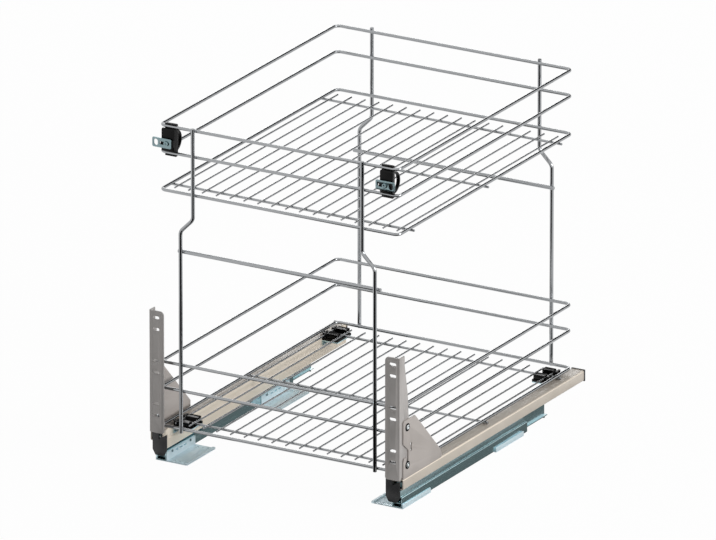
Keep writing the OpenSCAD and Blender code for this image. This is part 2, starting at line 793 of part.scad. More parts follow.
// A closed loop of wire with round corners
module rail_loop(z) {
    straight_x = basket_x - corner_r;
    straight_y = basket_d / 2 - corner_r;
    translate([0, basket_y, z]) {
        for (s = [-1, 1]) {
            bar_x([-straight_x, s * basket_d / 2, 0], 2 * straight_x, rail_wire_d);
            bar_y([s * basket_x, -straight_y, 0], 2 * straight_y, rail_wire_d);
        }
        for (k = [0 : 3])
            translate([(k == 0 || k == 3 ? 1 : -1) * straight_x, (k < 2 ? 1 : -1) * straight_y, 0])
                rotate([0, 0, k * 90]) rotate_extrude(angle = 90)
                    translate([corner_r, 0]) circle(d = rail_wire_d);
    }
}

module basket_rail_wire(z) {
    color(chrome) rail_loop(z);
}

module cross_wires(floor_z) {
    length = 2 * (basket_x + cross_reach);
    color(chrome) for (k = [-1, 0, 1])
        bar_x([-length / 2, basket_y + k * cross_offset, floor_z - cross_drop], length, cross_wire_d);
}

module floor_wires(floor_z) {
    color(chrome) for (i = [0 : floor_wires_n - 1])
        bar_y([first_floor_x + i * floor_pitch, basket_y - floor_wire_len / 2, floor_z - floor_drop],
              floor_wire_len, floor_wire_d);
}

// An upright with a jog: straight down, out at 45 degrees and straight down again
module upright(side, end) {
    y = basket_y + end * (basket_d / 2 + upright_out);
    slant = jog * sqrt(2) - 2 * jog_tangent;
    melt = 0.5;
    skin = 0.04;
    color(chrome) on_side(side) translate([0, y, 0]) {
        translate([upright_x, 0, jog_top + jog_tangent])
            cylinder(h = upright_top_z - jog_top - jog_tangent, d = upright_d);
        translate([upright_x + jog_r, 0, jog_top + jog_tangent]) jog_bend(180);
        translate([lower_upright_x, 0, jog_bottom]) rotate([0, -45, 0])
            translate([0, 0, jog_tangent - melt]) cylinder(h = slant + 2 * melt, d = upright_d - skin);
        translate([lower_upright_x - jog_r, 0, jog_bottom - jog_tangent]) jog_bend(0);
        translate([lower_upright_x, 0, upright_bottom_z])
            cylinder(h = jog_bottom - jog_tangent - upright_bottom_z, d = upright_d);
    }
}

// A bend of 45 degrees in the XZ plane that starts at an angle
module jog_bend(start) {
    rotate([90, 0, 0]) rotate([0, 0, start]) rotate_extrude(angle = 45)
        translate([jog_r, 0]) circle(d = upright_d);
}

module crossbar(end) {
    reach = lower_upright_x + crossbar_reach;
    color(chrome)
        bar_x([-reach, basket_y + end * (basket_d / 2 + crossbar_in), crossbar_z], 2 * reach, upright_d);
}

// ---- gusset plates and door brackets ----

// Places a child at each rivet through a gusset plate's tab
module at_gusset_rivets() {
    for (y = [tab_front + gusset_rivet_front, tab_rear - gusset_rivet_rear])
        translate([plate_x - tab_w / 2, y, 0]) children();
}

module gusset_outline() {
    mouth_z = rail_top + mouth_rise;
    slope_rear = gusset_corner + gusset_slope;
    rear_z = rail_top + gusset_rear_h;
    slot_half = screw_d / 2 + run_gap;
    difference() {
        polygon([
            [gusset_front, rail_top],
            [gusset_front, gusset_top - plate_corner],
            [gusset_front + plate_corner, gusset_top],
            [gusset_corner, gusset_top],
            [slope_rear, rear_z],
            [slope_rear, rail_top]
        ]);
        polygon([
            [gusset_front - 1, mouth_z - 2 * plate_corner],
            [gusset_front, mouth_z - 2 * plate_corner],
            [gusset_front + plate_corner, mouth_z],
            [pivot_y + slot_half, mouth_z],
            [pivot_y + slot_half, mouth_z + mouth_h],
            [gusset_front, mouth_z + mouth_h + mouth_flare],
            [gusset_front - 1, mouth_z + mouth_h + mouth_flare + 1]
        ]);
        translate([pivot_y - slot_half, pivot_z]) square([2 * slot_half, mouth_z - pivot_z + 1]);
        translate([pivot_y, pivot_z]) circle(r = slot_half);
    }
}

module gusset(side) {
    keyhole_y = front_y + bracket_d + keyhole_gap;
    keyhole_z = rail_top + mouth_rise + mouth_h + keyhole_d / 2;
    color(champagne) on_side(side) difference() {
        union() {
            along_x(plate_x, side_x) gusset_outline();
            block([plate_x - tab_w, tab_front, rail_top], [plate_x + 0.1, tab_rear, rail_top + gusset_t]);
        }
        bar_x([plate_x - 1, pivot_y, clamp_z], gusset_t + 2, screw_d + 2 * fit_gap);
        for (s = [-1, 1])
            bar_x([plate_x - 1, keyhole_y, keyhole_z + s * keyhole_rise], gusset_t + 2, keyhole_d);
        block([plate_x - 1, keyhole_y - keyhole_w / 2, keyhole_z - keyhole_rise],
              [side_x + 1, keyhole_y + keyhole_w / 2, keyhole_z + keyhole_rise]);
        at_gusset_rivets() translate([0, 0, rail_top - 1])
            cylinder(h = gusset_t + 2, d = gusset_rivet_d + fit_gap);
    }
}

module gusset_rivets() {
    color(zinc) for (side = [-1, 1]) on_side(side) at_gusset_rivets() {
        translate([0, 0, rail_under]) cylinder(h = rail_t + gusset_t, d = gusset_rivet_d);
        translate([0, 0, rail_top + gusset_t]) cylinder(h = gusset_rivet_head, d = gusset_rivet_d * 1.5);
    }
}

// The pivot and clamp screws of both door brackets, with their nuts
module bracket_screws() {
    nut_x = bracket_x - bracket_t - run_gap - nut_t;
    color(zinc) for (side = [-1, 1]) on_side(side) for (z = [pivot_z, clamp_z]) {
        bar_x([side_x, pivot_y, z], head_h, head_d);
        bar_x([nut_x, pivot_y, z], side_x - nut_x + 0.1, screw_d);
        translate([nut_x, pivot_y, z]) rotate([0, 90, 0]) cylinder(h = nut_t, d = nut_d, $fn = 6);
    }
}

module bracket_side_outline() {
    low = front_y + bracket_t;
    slope_top = bracket_top - bracket_slope_drop;
    polygon([
        [front_y, bracket_z],
        [low, bracket_z],
        [low + bracket_step, bracket_z + bracket_step],
        [front_y + bracket_d, bracket_z + bracket_step],
        [front_y + bracket_d, gusset_top],
        [front_y + bracket_mid_d, slope_top - bracket_slope],
        [front_y + bracket_top_d, slope_top],
        [front_y + bracket_top_d, bracket_top],
        [front_y, bracket_top]
    ]);
}

module bracket_front_outline() {
    difference() {
        union() {
            polygon([
                [bracket_in_x + plate_corner, bracket_z],
                [bracket_x - plate_corner, bracket_z],
                [bracket_x, bracket_z + plate_corner],
                [bracket_x, bracket_top],
                [bracket_in_x + bracket_r, bracket_top],
                [bracket_in_x + bracket_r, bracket_top - bracket_r],
                [bracket_in_x, bracket_top - bracket_r],
                [bracket_in_x, bracket_z + plate_corner]
            ]);
            translate([bracket_in_x + bracket_r, bracket_top - bracket_r]) circle(r = bracket_r);
        }
        for (i = [0 : 2], k = [0, 1])
            translate([slot_x, bracket_z + slot_rise + i * slot_pitch + k * slot_dz])
                slot_outline(slot_len, slot_w);
    }
}

module door_bracket(side) {
    swing = 3;
    color(bracket_grey) on_side(side) difference() {
        union() {
            along_y(front_y, front_y + bracket_t) bracket_front_outline();
            along_x(bracket_x - bracket_t, bracket_x) bracket_side_outline();
        }
        bar_x([bracket_x - bracket_t - 1, pivot_y, pivot_z], bracket_t + 2, screw_d + 2 * run_gap);
        along_x(bracket_x - bracket_t - 1, bracket_x + 1) translate([pivot_y, clamp_z])
            slot_outline(screw_d + 2 * run_gap + swing, screw_d + 2 * run_gap);
    }
}

// ---- top clips and door plates ----

// Outline of the body, which the rail wires snap into from the front
module top_clip_outline() {
    top = top_z + wire_r + top_clip_wall;
    bottom = mid_z - wire_r - top_clip_wall;
    hook_y = basket_front - top_clip_round;
    gap_h = rail_wire_d - 2 * snap;
    difference() {
        polygon([
            [top_clip_front + top_clip_round, mid_z + wire_r],
            [top_clip_front, mid_z + wire_r + top_clip_round],
            [top_clip_front, top_z - wire_r - top_clip_round],
            [top_clip_front + top_clip_round, top_z - wire_r],
            [hook_y, top_z - wire_r],
            [hook_y, top],
            [top_clip_back - top_clip_round, top],
            [top_clip_back, top - top_clip_round],
            [top_clip_back, bottom + top_clip_round],
            [top_clip_back - top_clip_round, bottom],
            [hook_y, bottom],
            [hook_y, mid_z + wire_r]
        ]);
        for (z = [top_z, mid_z]) {
            translate([basket_front, z]) circle(r = wire_r);
            translate([top_clip_front - 1, z - gap_h / 2])
                square([basket_front - top_clip_front + 1, gap_h]);
        }
    }
}

// Outline of the bowed lever behind the body
module lever_outline() {
    difference() {
        circle(r = lever_r);
        circle(r = lever_r - lever_t);
        translate([-lever_r - 1, -lever_r - 1]) square([lever_r + 1, 2 * lever_r + 2]);
    }
}

// The hooks end where the rail wires start to bend round the basket's corner
// The lever stands on the same side of both clips, because they are one moulding
module top_clip(side) {
    out_x = top_clip_x + top_clip_w / 2;
    lever_x = top_clip_x + (side > 0 ? lever_shift : -lever_shift);
    color(plastic) on_side(side) difference() {
        union() {
            along_x(out_x - top_clip_w, out_x) top_clip_outline();
            along_x(lever_x - lever_w / 2, lever_x + lever_w / 2)
                translate([top_clip_back - 0.5, lever_z]) lever_outline();
            block([clamp_x - boss_w / 2, boss_front, plate_z - boss_h / 2],
                  [clamp_x + boss_w / 2, top_clip_front + 1, plate_z + boss_h / 2]);
        }
        block([basket_x - corner_r, basket_front - wire_r, mid_z - lever_r],
              [out_x + 1, basket_front + lever_r, top_z + lever_r]);
        bar_y([clamp_x, boss_front - 1, plate_z], clamp_end + 1.5 - boss_front, clamp_d + 2 * fit_gap);
    }
}

module door_plate(side) {
    x = clamp_x + (side > 0 ? right_plate_shift : left_plate_shift);
    color(zinc) on_side(side) difference() {
        block([x - plate_w / 2, plate_y, plate_z - plate_h / 2],
              [x + plate_w / 2, plate_y + plate_t, plate_z + plate_h / 2]);
        along_y(plate_y - 1, plate_y + plate_t + 1) {
            translate([x - plate_slot_shift, plate_z]) slot_outline(plate_slot_len, plate_slot_w);
            translate([x + plate_w / 2 - door_slot_edge, plate_z]) rotate([0, 0, 90])
                slot_outline(door_slot_h, door_slot_w);
        }
    }
}

module clamp_screws() {
    head_front = plate_y - plate_head_h;
    color(zinc) for (side = [-1, 1]) on_side(side) {
        bar_y([clamp_x, head_front, plate_z], plate_head_h - fit_gap, clamp_d + 3);
        bar_y([clamp_x, head_front + 0.1, plate_z], clamp_end - head_front - 0.1, clamp_d);
    }
}

cabinet_rail(-1);  // cabinet_rail_left
cabinet_rail(1);  // cabinet_rail_right
foot(-1, front_foot_front);  // front_foot_left
foot(1, front_foot_front);  // front_foot_right
foot(-1, rear_foot_front);  // rear_foot_left
foot(1, rear_foot_front);  // rear_foot_right
foot_rivets();
middle_rail(-1);  // middle_rail_left
middle_rail(1);  // middle_rail_right
lower_glide(-1);  // lower_glide_left
lower_glide(1);  // lower_glide_right
roller_cage(-1, lower_cage_front, lower_channel_x, lower_roller_z, lower_cage_w, lower_roller_len);  // lower_roller_cage_left
roller_cage(1, lower_cage_front, lower_channel_x, lower_roller_z, lower_cage_w, lower_roller_len);  // lower_roller_cage_right
rollers(-1, lower_cage_front, lower_channel_x, lower_roller_z, lower_roller_len);  // lower_rollers_left
rollers(1, lower_cage_front, lower_channel_x, lower_roller_z, lower_roller_len);  // lower_rollers_right
roller_cage(-1, upper_cage_front, upper_channel_x, upper_roller_z, upper_cage_w, upper_roller_len);  // upper_roller_cage_left
roller_cage(1, upper_cage_front, upper_channel_x, upper_roller_z, upper_cage_w, upper_roller_len);  // upper_roller_cage_right
rollers(-1, upper_cage_front, upper_channel_x, upper_roller_z, upper_roller_len);  // upper_rollers_left
rollers(1, upper_cage_front, upper_channel_x, upper_roller_z, upper_roller_len);  // upper_rollers_right
basket_rail(-1);  // basket_rail_left
basket_rail(1);  // basket_rail_right
front_cap(-1);  // front_cap_left
front_cap(1);  // front_cap_right
rear_cap(-1);  // rear_cap_left
rear_cap(1);  // rear_cap_right
upper_glide(-1);  // upper_glide_left
upper_glide(1);  // upper_glide_right
clip_tabs();
clip_rivets();
basket_clips();
basket_rail_wire(upper_floor_z + top_rise);  // upper_top_rail
basket_rail_wire(upper_floor_z + mid_rise);  // upper_mid_rail
basket_rail_wire(upper_floor_z);  // upper_floor_rail
cross_wires(upper_floor_z);  // upper_cross_wires
floor_wires(upper_floor_z);  // upper_floor_wires
basket_rail_wire(lower_floor_z + top_rise);  // lower_top_rail
basket_rail_wire(lower_floor_z + mid_rise);  // lower_mid_rail
basket_rail_wire(lower_floor_z);  // lower_floor_rail
cross_wires(lower_floor_z);  // lower_cross_wires
floor_wires(lower_floor_z);  // lower_floor_wires
upright(-1, -1);  // front_upright_left
upright(1, -1);  // front_upright_right
upright(-1, 1);  // rear_upright_left
upright(1, 1);  // rear_upright_right
crossbar(-1);  // front_crossbar
crossbar(1);  // rear_crossbar
gusset(-1);  // gusset_left
gusset(1);  // gusset_right
gusset_rivets();
bracket_screws();
door_bracket(-1);  // door_bracket_left
door_bracket(1);  // door_bracket_right
top_clip(-1);  // top_clip_left
top_clip(1);  // top_clip_right
door_plate(-1);  // door_plate_left
door_plate(1);  // door_plate_right
clamp_screws();
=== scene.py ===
"""Two tier pull out cabinet basket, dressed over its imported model, with a plain studio stage."""

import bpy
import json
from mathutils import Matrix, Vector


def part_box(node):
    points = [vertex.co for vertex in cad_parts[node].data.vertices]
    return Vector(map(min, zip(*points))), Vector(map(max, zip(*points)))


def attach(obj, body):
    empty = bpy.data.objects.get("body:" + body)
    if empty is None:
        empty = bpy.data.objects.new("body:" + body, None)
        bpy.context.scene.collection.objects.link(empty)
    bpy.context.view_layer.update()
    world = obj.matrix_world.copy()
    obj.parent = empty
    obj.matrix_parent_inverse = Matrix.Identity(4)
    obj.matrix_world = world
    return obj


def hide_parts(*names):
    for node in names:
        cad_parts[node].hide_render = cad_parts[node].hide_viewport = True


bl_info = {
    "name": "Pull Out Cabinet Basket",
    "version": (1, 0, 0),
    "blender": (4, 5, 0),
    "location": "View3D > Sidebar > Basket",
    "description": "Models the wires, rails, brackets and clips of a two tier cabinet basket",
    "category": "Object",
}

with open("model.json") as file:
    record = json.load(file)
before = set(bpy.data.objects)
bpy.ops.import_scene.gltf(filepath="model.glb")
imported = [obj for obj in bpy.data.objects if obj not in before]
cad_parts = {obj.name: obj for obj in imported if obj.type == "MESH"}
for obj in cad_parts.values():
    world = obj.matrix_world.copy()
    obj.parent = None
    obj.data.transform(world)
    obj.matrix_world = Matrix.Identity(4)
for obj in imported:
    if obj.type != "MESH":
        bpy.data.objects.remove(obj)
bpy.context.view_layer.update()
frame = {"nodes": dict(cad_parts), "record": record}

import json
import math

import bmesh
import bpy
from bpy.props import FloatProperty, FloatVectorProperty, IntProperty, PointerProperty, StringProperty
from mathutils import Matrix, Vector

MM = 0.001
SIDES = (("left", -1), ("right", 1))
TIERS = ("upper", "lower")
WHITE = (1.0, 1.0, 1.0, 1.0)
# Nearly all of a noise's values lie in this span, so it is what a range is stretched from
NOISE_SPAN = {"From Min": 0.3, "From Max": 0.7}
SMOOTH_ANGLE = math.radians(35)
BEVEL_ANGLE = math.radians(40)
FLAT_ANGLE = math.radians(1)
BEND_STEP_DEG = 9
WASHER_SEGMENTS = 32
EDGE_SEGMENTS = 2
# How far a cutter runs past the face that it cuts, in millimetres
OVERCUT = 1.0
# Packed vertices nearer than this are one, and a corner nearer to a face is on it, in millimetres
MERGE = 1e-3
ON_FACE = 0.01
# A fold is longer than this many of its radii, and its direction is off its axis by less than this
FOLD_RADII = 8
PARALLEL = 1e-4


# ---------------------------------------------------------------- sizes and colours

class WireSizes(bpy.types.PropertyGroup):
    """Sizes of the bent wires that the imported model's boxes don't give, in millimetres"""
    corner_r: FloatProperty(name="Corner radius", description="Radius of a rail wire's corners", default=8.0)
    jog_r: FloatProperty(name="Jog radius", description="Bend radius of an upright's jog", default=12.0)
    jog_top: FloatProperty(name="Jog top", description="Height of the jog's upper bend", default=363.0)
    jog_bottom: FloatProperty(name="Jog bottom", description="Height of the jog's lower bend", default=343.0)
    end_chamfer: FloatProperty(name="End chamfer", description="Chamfer on a cut wire end", default=0.5)
    segments: IntProperty(name="Segments", description="Sides of the thicker wires", default=24, min=8)
    thin_segments: IntProperty(name="Thin segments", description="Sides of the floor and cross wires", default=16,
                               min=8)


class EdgeSizes(bpy.types.PropertyGroup):
    """Radii of the folds and edges of the sheet and moulded parts, in millimetres"""
    rail_fold: FloatProperty(name="Rail fold", description="Outer radius of a basket rail's folds", default=2.2)
    runner_fold: FloatProperty(name="Runner fold", description="Outer radius of a cabinet rail's folds",
                               default=1.1)
    bracket_fold: FloatProperty(name="Bracket fold", description="Outer radius of a door bracket's fold",
                                default=2.4)
    sheet: FloatProperty(name="Sheet edge", description="Rounding of a cut sheet edge", default=0.25)
    moulding: FloatProperty(name="Moulding edge", description="Rounding of a moulded part's edge", default=0.5)
    rivet: FloatProperty(name="Rivet edge", description="Rounding of a rivet head", default=0.45)
    plate_corner: FloatProperty(name="Plate corner", description="Radius of a door plate's corners", default=2.2)
    rail_edge: FloatProperty(name="Rail edge", description="Width of a basket rail's inner edge that is folded",
                             default=1.5)
    fold_segments: IntProperty(name="Fold segments", description="Steps of a fold or a plate corner", default=5)
    # The next three sizes place the painted highlight along the basket rails' folds and the painted light on their
    # inner walls
    fold_highlight: FloatVectorProperty(name="Polish", description="Distances from a fold over which its polish fades",
                                size=2, default=(0.9, 2.4))
    ledge_line: FloatProperty(name="Ledge line", description="Polished line's distance from the rail's inner face",
                              default=1.0)
    inner_light_depth: FloatProperty(name="Inner coat", description="Depth of the pale coat behind the inner face",
                              default=1.2)


class ScrewSizes(bpy.types.PropertyGroup):
    """Sizes of the screw heads' recesses and of the dark rings round the bracket screws, in millimetres"""
    recess: FloatProperty(name="Recess", description="Depth of the cross recess in a screw head", default=0.8)
    recess_half_l: FloatProperty(name="Recess half length", description="Half the length of the cross",
                                 default=1.9)
    recess_half_w: FloatProperty(name="Recess half width", description="Half the width of its slots",
                                 default=0.45)
    washer_hole_d: FloatProperty(name="Washer hole", description="Bore of a bracket screw's washer", default=5.2)
    washer_d: FloatProperty(name="Washer", description="Outer diameter of the washer", default=11.5)
    washer_t: FloatProperty(name="Washer thickness", description="Thickness of the washer", default=0.5)


class FinishColours(bpy.types.PropertyGroup):
    """Colours of the finishes, as sRGB hex values"""
    chrome: StringProperty(name="Chrome", description="Chrome plate on the wires", default="#a0a2a4")
    rail: StringProperty(name="Rail paint", description="Paint on the basket rails", default="#c9c0b4")
    # Painted highlight along the basket rails' folds, and painted light all over their inner walls
    rail_fold: StringProperty(name="Rail fold paint", description="Polished folds of the basket rails",
                              default="#f6ead9")
    gusset: StringProperty(name="Gusset paint", description="Paint on the gusset plates", default="#b4ada8")
    bracket: StringProperty(name="Bracket paint", description="Paint on the door brackets", default="#b2aeab")
    zinc: StringProperty(name="Zinc", description="Blue passivated zinc on the runners", default="#c5e0e6")
    hardware: StringProperty(name="Hardware zinc", description="Zinc on door plates, rivets and clamp screws",
                             default="#84989c")
    # Paler than the runners' zinc: partly the feet's own pale finish, partly painted light on feet that lie in the
    # lamps' shade
    foot: StringProperty(name="Foot zinc", description="Pale zinc on the feet", default="#e4f6fd")
    screw: StringProperty(name="Screw zinc", description="Bright zinc on the bracket screws", default="#eef2f3")
    # Colour of the dark ring round each bracket screw head
    dark_ring: StringProperty(name="Black oxide", description="Washers under the bracket screws", default="#26282a")
    cap: StringProperty(name="Cap plastic", description="End caps of the basket rails", default="#242426")
    clip: StringProperty(name="Clip plastic", description="Top clips and basket clips", default="#060606")
    nylon: StringProperty(name="Nylon", description="Rollers and glides", default="#e6e3da")
    floor: StringProperty(name="Floor", description="Studio floor", default="#f8f8f8")
    flag: StringProperty(name="Flag", description="Black flags, before their level", default="#ffffff")
    cloth: StringProperty(name="Cloth", description="Dark cloth under the runners, before its level",
                          default="#e6f0ee")


class StageSettings(bpy.types.PropertyGroup):
    """Camera, lamps, flags and floor"""
    azimuth: FloatProperty(name="Azimuth", description="Camera's turn from the front to the right",
                           subtype="ANGLE", default=math.radians(29.99))
    elevation: FloatProperty(name="Elevation", description="Camera's height angle", subtype="ANGLE",
                             default=math.radians(19.77))
    distance: FloatProperty(name="Distance", description="Camera's distance", unit="LENGTH", default=26.0)
    lens: FloatProperty(name="Lens", description="Focal length in millimetres", default=947.0)
    aim_right: FloatProperty(name="Aim right", description="Aim point to the right of the middle", unit="LENGTH",
                             default=-0.01248)
    aim_up: FloatProperty(name="Aim up", description="Aim point above the middle", unit="LENGTH", default=-0.0463)
    middle: FloatVectorProperty(name="Middle", description="Point that the aim is measured from", subtype="XYZ",
                                default=(0.0, -0.0014, 0.287))
    lamp_aim: FloatVectorProperty(name="Lamp aim", description="Point that the lamps face", subtype="XYZ",
                                  default=(0.0, 0.0, 0.25))
    key_place: FloatVectorProperty(name="Key place", description="Place of the key lamp, far to the right",
                                   subtype="XYZ", default=(7.5, 0.75, 3.0))
    key_size: FloatVectorProperty(name="Key size", description="Width and height of the key lamp", size=2,
                                  default=(3.5, 3.0))
    key_power: FloatProperty(name="Key power", description="Power of the key lamp", default=345.0)
    rim_place: FloatVectorProperty(name="Rim place", description="Place of the lamp behind", subtype="XYZ",
                                   default=(-1.4, 2.4, 0.7))
    rim_size: FloatVectorProperty(name="Rim size", description="Width and height of the lamp behind", size=2,
                                  default=(1.0, 0.4))
    rim_power: FloatProperty(name="Rim power", description="Power of the lamp behind", default=5.0)
    top_place: FloatVectorProperty(name="Top place", description="Place of the top lamp", subtype="XYZ",
                                   default=(0.0, 0.2, 2.2))
    top_size: FloatVectorProperty(name="Top size", description="Width and height of the top lamp", size=2,
                                  default=(1.6, 1.6))
    top_power: FloatProperty(name="Top power", description="Power of the top lamp", default=2.0)
    world_level: FloatProperty(name="World level", description="Brightness of the world as a light", default=0.35)
    flag_level: FloatProperty(name="Flag level", description="Brightness of the black flags", default=0.01)
    shade_level: FloatProperty(name="Shade level", description="Brightness of the dark floor cloth", default=0.17)
    floor_glow: FloatProperty(name="Floor glow", description="Share of plain white in the floor", default=0.97)
    floor_half: FloatProperty(name="Floor half size", description="Half the floor's width", unit="LENGTH",
                              default=30.0)
    cloth_front: FloatProperty(name="Cloth front", description="Front edge of the runner cloths", unit="LENGTH",
                               default=-0.27)
    cloth_rear: FloatProperty(name="Cloth rear", description="Rear edge of the runner cloths", unit="LENGTH",
                              default=0.32)


# Corners of the black flags and sideways extents of the runner cloths, in metres. The cloths on the floor lie just
# over it, so that they don't share its plane.
FLAG_Z = 0.0002
CLOTH_Z = 0.0003
FRONT_FLAG = ((-0.24, -0.31), (0.22, -0.30), (2.4, -0.6), (2.2, -2.6), (0.1, -2.2), (-0.36, -1.1),
              (-0.36, -0.75), (-0.10, -0.58))
BACK_FLAG_Y = 3.0
BACK_FLAG = ((-1.5, 1.25), (1.5, 1.25), (1.5, 2.9), (-1.5, 2.9))
RUNNER_CLOTHS = (("left_runner_cloth", -0.20, -0.10), ("right_runner_cloth", 0.15, 0.40))
# The camera's sensor is as wide as full frame, in millimetres
SENSOR_WIDTH = 36.0


# ---------------------------------------------------------------- materials

def linear(hex_value):
    """An sRGB hex value as linear red, green, blue and alpha"""
    parts = [int(hex_value[i:i + 2], 16) / 255 for i in (1, 3, 5)]
    return [c / 12.92 if c <= 0.04045 else ((c + 0.055) / 1.055) ** 2.4 for c in parts] + [1.0]


def add_node(tree, kind, inputs=None, **settings):
    """Adds a node with its settings, and with its inputs set or linked"""
    node = tree.nodes.new(kind)
    for name, value in settings.items():
        setattr(node, name, value)
    for name, value in (inputs or {}).items():
        if isinstance(value, bpy.types.NodeSocket):
            tree.links.new(value, node.inputs[name])
        else:
            node.inputs[name].default_value = value
    return node


def new_material(name):
    """An empty node material, and its tree"""
    material = bpy.data.materials.new(name)
    material.use_nodes = True
    material.node_tree.nodes.clear()
    return material, material.node_tree


def seen_directly(tree):
    """One for rays of the camera, of mirror surfaces and of clear ones, and nought for the rest"""
    rays = add_node(tree, "ShaderNodeLightPath").outputs
    seen = rays["Is Camera Ray"]
    for other in ("Is Glossy Ray", "Is Transmission Ray"):
        seen = add_node(tree, "ShaderNodeMath", {0: seen, 1: rays[other]}, operation="MAXIMUM").outputs[0]
    return seen


def chrome_plated_wire(colours):
    """Bright chrome over drawn steel wire: a near mirror, a little softer where the plating is thin"""
    material, tree = new_material("chrome_plated_wire")
    place = add_node(tree, "ShaderNodeTexCoord").outputs["Object"]
    # Plating thins and thickens over about 25 mm
    thin = add_node(tree, "ShaderNodeTexNoise", {"Vector": place, "Scale": 1 / (25 * MM), "Detail": 3.0})
    gloss = add_node(tree, "ShaderNodeMapRange", {"Value": thin.outputs["Fac"], **NOISE_SPAN, "To Min": 0.05,
                                                  "To Max": 0.10})
    # Drawing marks along the wire are too fine to show, so they are drawn 3 mm across and very shallow
    marks = add_node(tree, "ShaderNodeTexNoise", {"Vector": place, "Scale": 1 / (3 * MM), "Detail": 2.0})
    bump = add_node(tree, "ShaderNodeBump", {"Height": marks.outputs["Fac"], "Strength": 0.03,
                                             "Distance": 0.1 * MM})
    shader = add_node(tree, "ShaderNodeBsdfPrincipled", {
        "Base Color": linear(colours.chrome), "Metallic": 1.0, "Roughness": gloss.outputs["Result"],
        "Normal": bump.outputs["Normal"]})
    add_node(tree, "ShaderNodeOutputMaterial", {"Surface": shader.outputs["BSDF"]})
    return material


def satin_paint(name, hex_value, painted_light_hex="", folds=(), fold_highlight=(), inner_x=0.0):
    """
    Satin powder coat on pressed steel: a fine orange peel and a soft broad highlight. A painted highlight runs
    along its folds, fading from the first to the second given distance, and painted light covers it further in
    than inner_x.
    """
    material, tree = new_material(name)
    place = add_node(tree, "ShaderNodeTexCoord").outputs["Object"]
    # Orange peel about 1.2 mm across, drawn a little coarse so that it shows
    peel = add_node(tree, "ShaderNodeTexNoise", {"Vector": place, "Scale": 1 / (1.2 * MM), "Detail": 2.0})
    # Film thickness drifts over about 40 mm
    drift = add_node(tree, "ShaderNodeTexNoise", {"Vector": place, "Scale": 1 / (40 * MM), "Detail": 1.0})
    value = add_node(tree, "ShaderNodeMapRange", {"Value": drift.outputs["Fac"], **NOISE_SPAN, "To Min": 0.96,
                                                  "To Max": 1.03})
    gloss = add_node(tree, "ShaderNodeMapRange", {"Value": drift.outputs["Fac"], **NOISE_SPAN, "To Min": 0.36,
                                                  "To Max": 0.46})
    shade = add_node(tree, "ShaderNodeHueSaturation", {"Color": linear(hex_value),
                                                       "Value": value.outputs["Result"]})
    colour = shade.outputs["Color"]
    # Shares of painted highlight and painted light that are mixed into the colour
    painted_light_shares = []
    if painted_light_hex:
        split = add_node(tree, "ShaderNodeSeparateXYZ", {"Vector": place})
        side = add_node(tree, "ShaderNodeMath", {0: split.outputs["X"]}, operation="ABSOLUTE").outputs[0]
    for x, z in folds:
        # Distance from the fold's line, which runs front to rear on both sides
        across = add_node(tree, "ShaderNodeMath", {0: side, 1: x * MM}, operation="SUBTRACT")
        above = add_node(tree, "ShaderNodeMath", {0: split.outputs["Z"], 1: z * MM}, operation="SUBTRACT")
        offset = add_node(tree, "ShaderNodeCombineXYZ", {"X": across.outputs[0], "Z": above.outputs[0]})
        far = add_node(tree, "ShaderNodeVectorMath", {0: offset.outputs[0]}, operation="LENGTH")
        # Painted highlight along the fold, fading with the distance from its line
        highlight_share = add_node(tree, "ShaderNodeMapRange", {
            "Value": far.outputs["Value"], "From Min": fold_highlight[0] * MM, "From Max": fold_highlight[1] * MM, "To Min": 1.0,
            "To Max": 0.0}, interpolation_type="SMOOTHSTEP")
        painted_light_shares.append(highlight_share.outputs["Result"])
    if inner_x:
        # Painted light: the inner wall is coloured pale all over
        inner = add_node(tree, "ShaderNodeMath", {0: side, 1: inner_x * MM}, operation="LESS_THAN")
        painted_light_shares.append(inner.outputs[0])
    for share in painted_light_shares:
        mixed = add_node(tree, "ShaderNodeMix", {"Factor": share, "A": colour, "B": linear(painted_light_hex)},
                         data_type="RGBA")
        colour = mixed.outputs["Result"]
    bump = add_node(tree, "ShaderNodeBump", {"Height": peel.outputs["Fac"], "Strength": 0.12,
                                             "Distance": 0.05 * MM})
    shader = add_node(tree, "ShaderNodeBsdfPrincipled", {
        "Base Color": colour, "Roughness": gloss.outputs["Result"], "Normal": bump.outputs["Normal"]})
    add_node(tree, "ShaderNodeOutputMaterial", {"Surface": shader.outputs["BSDF"]})
    return material


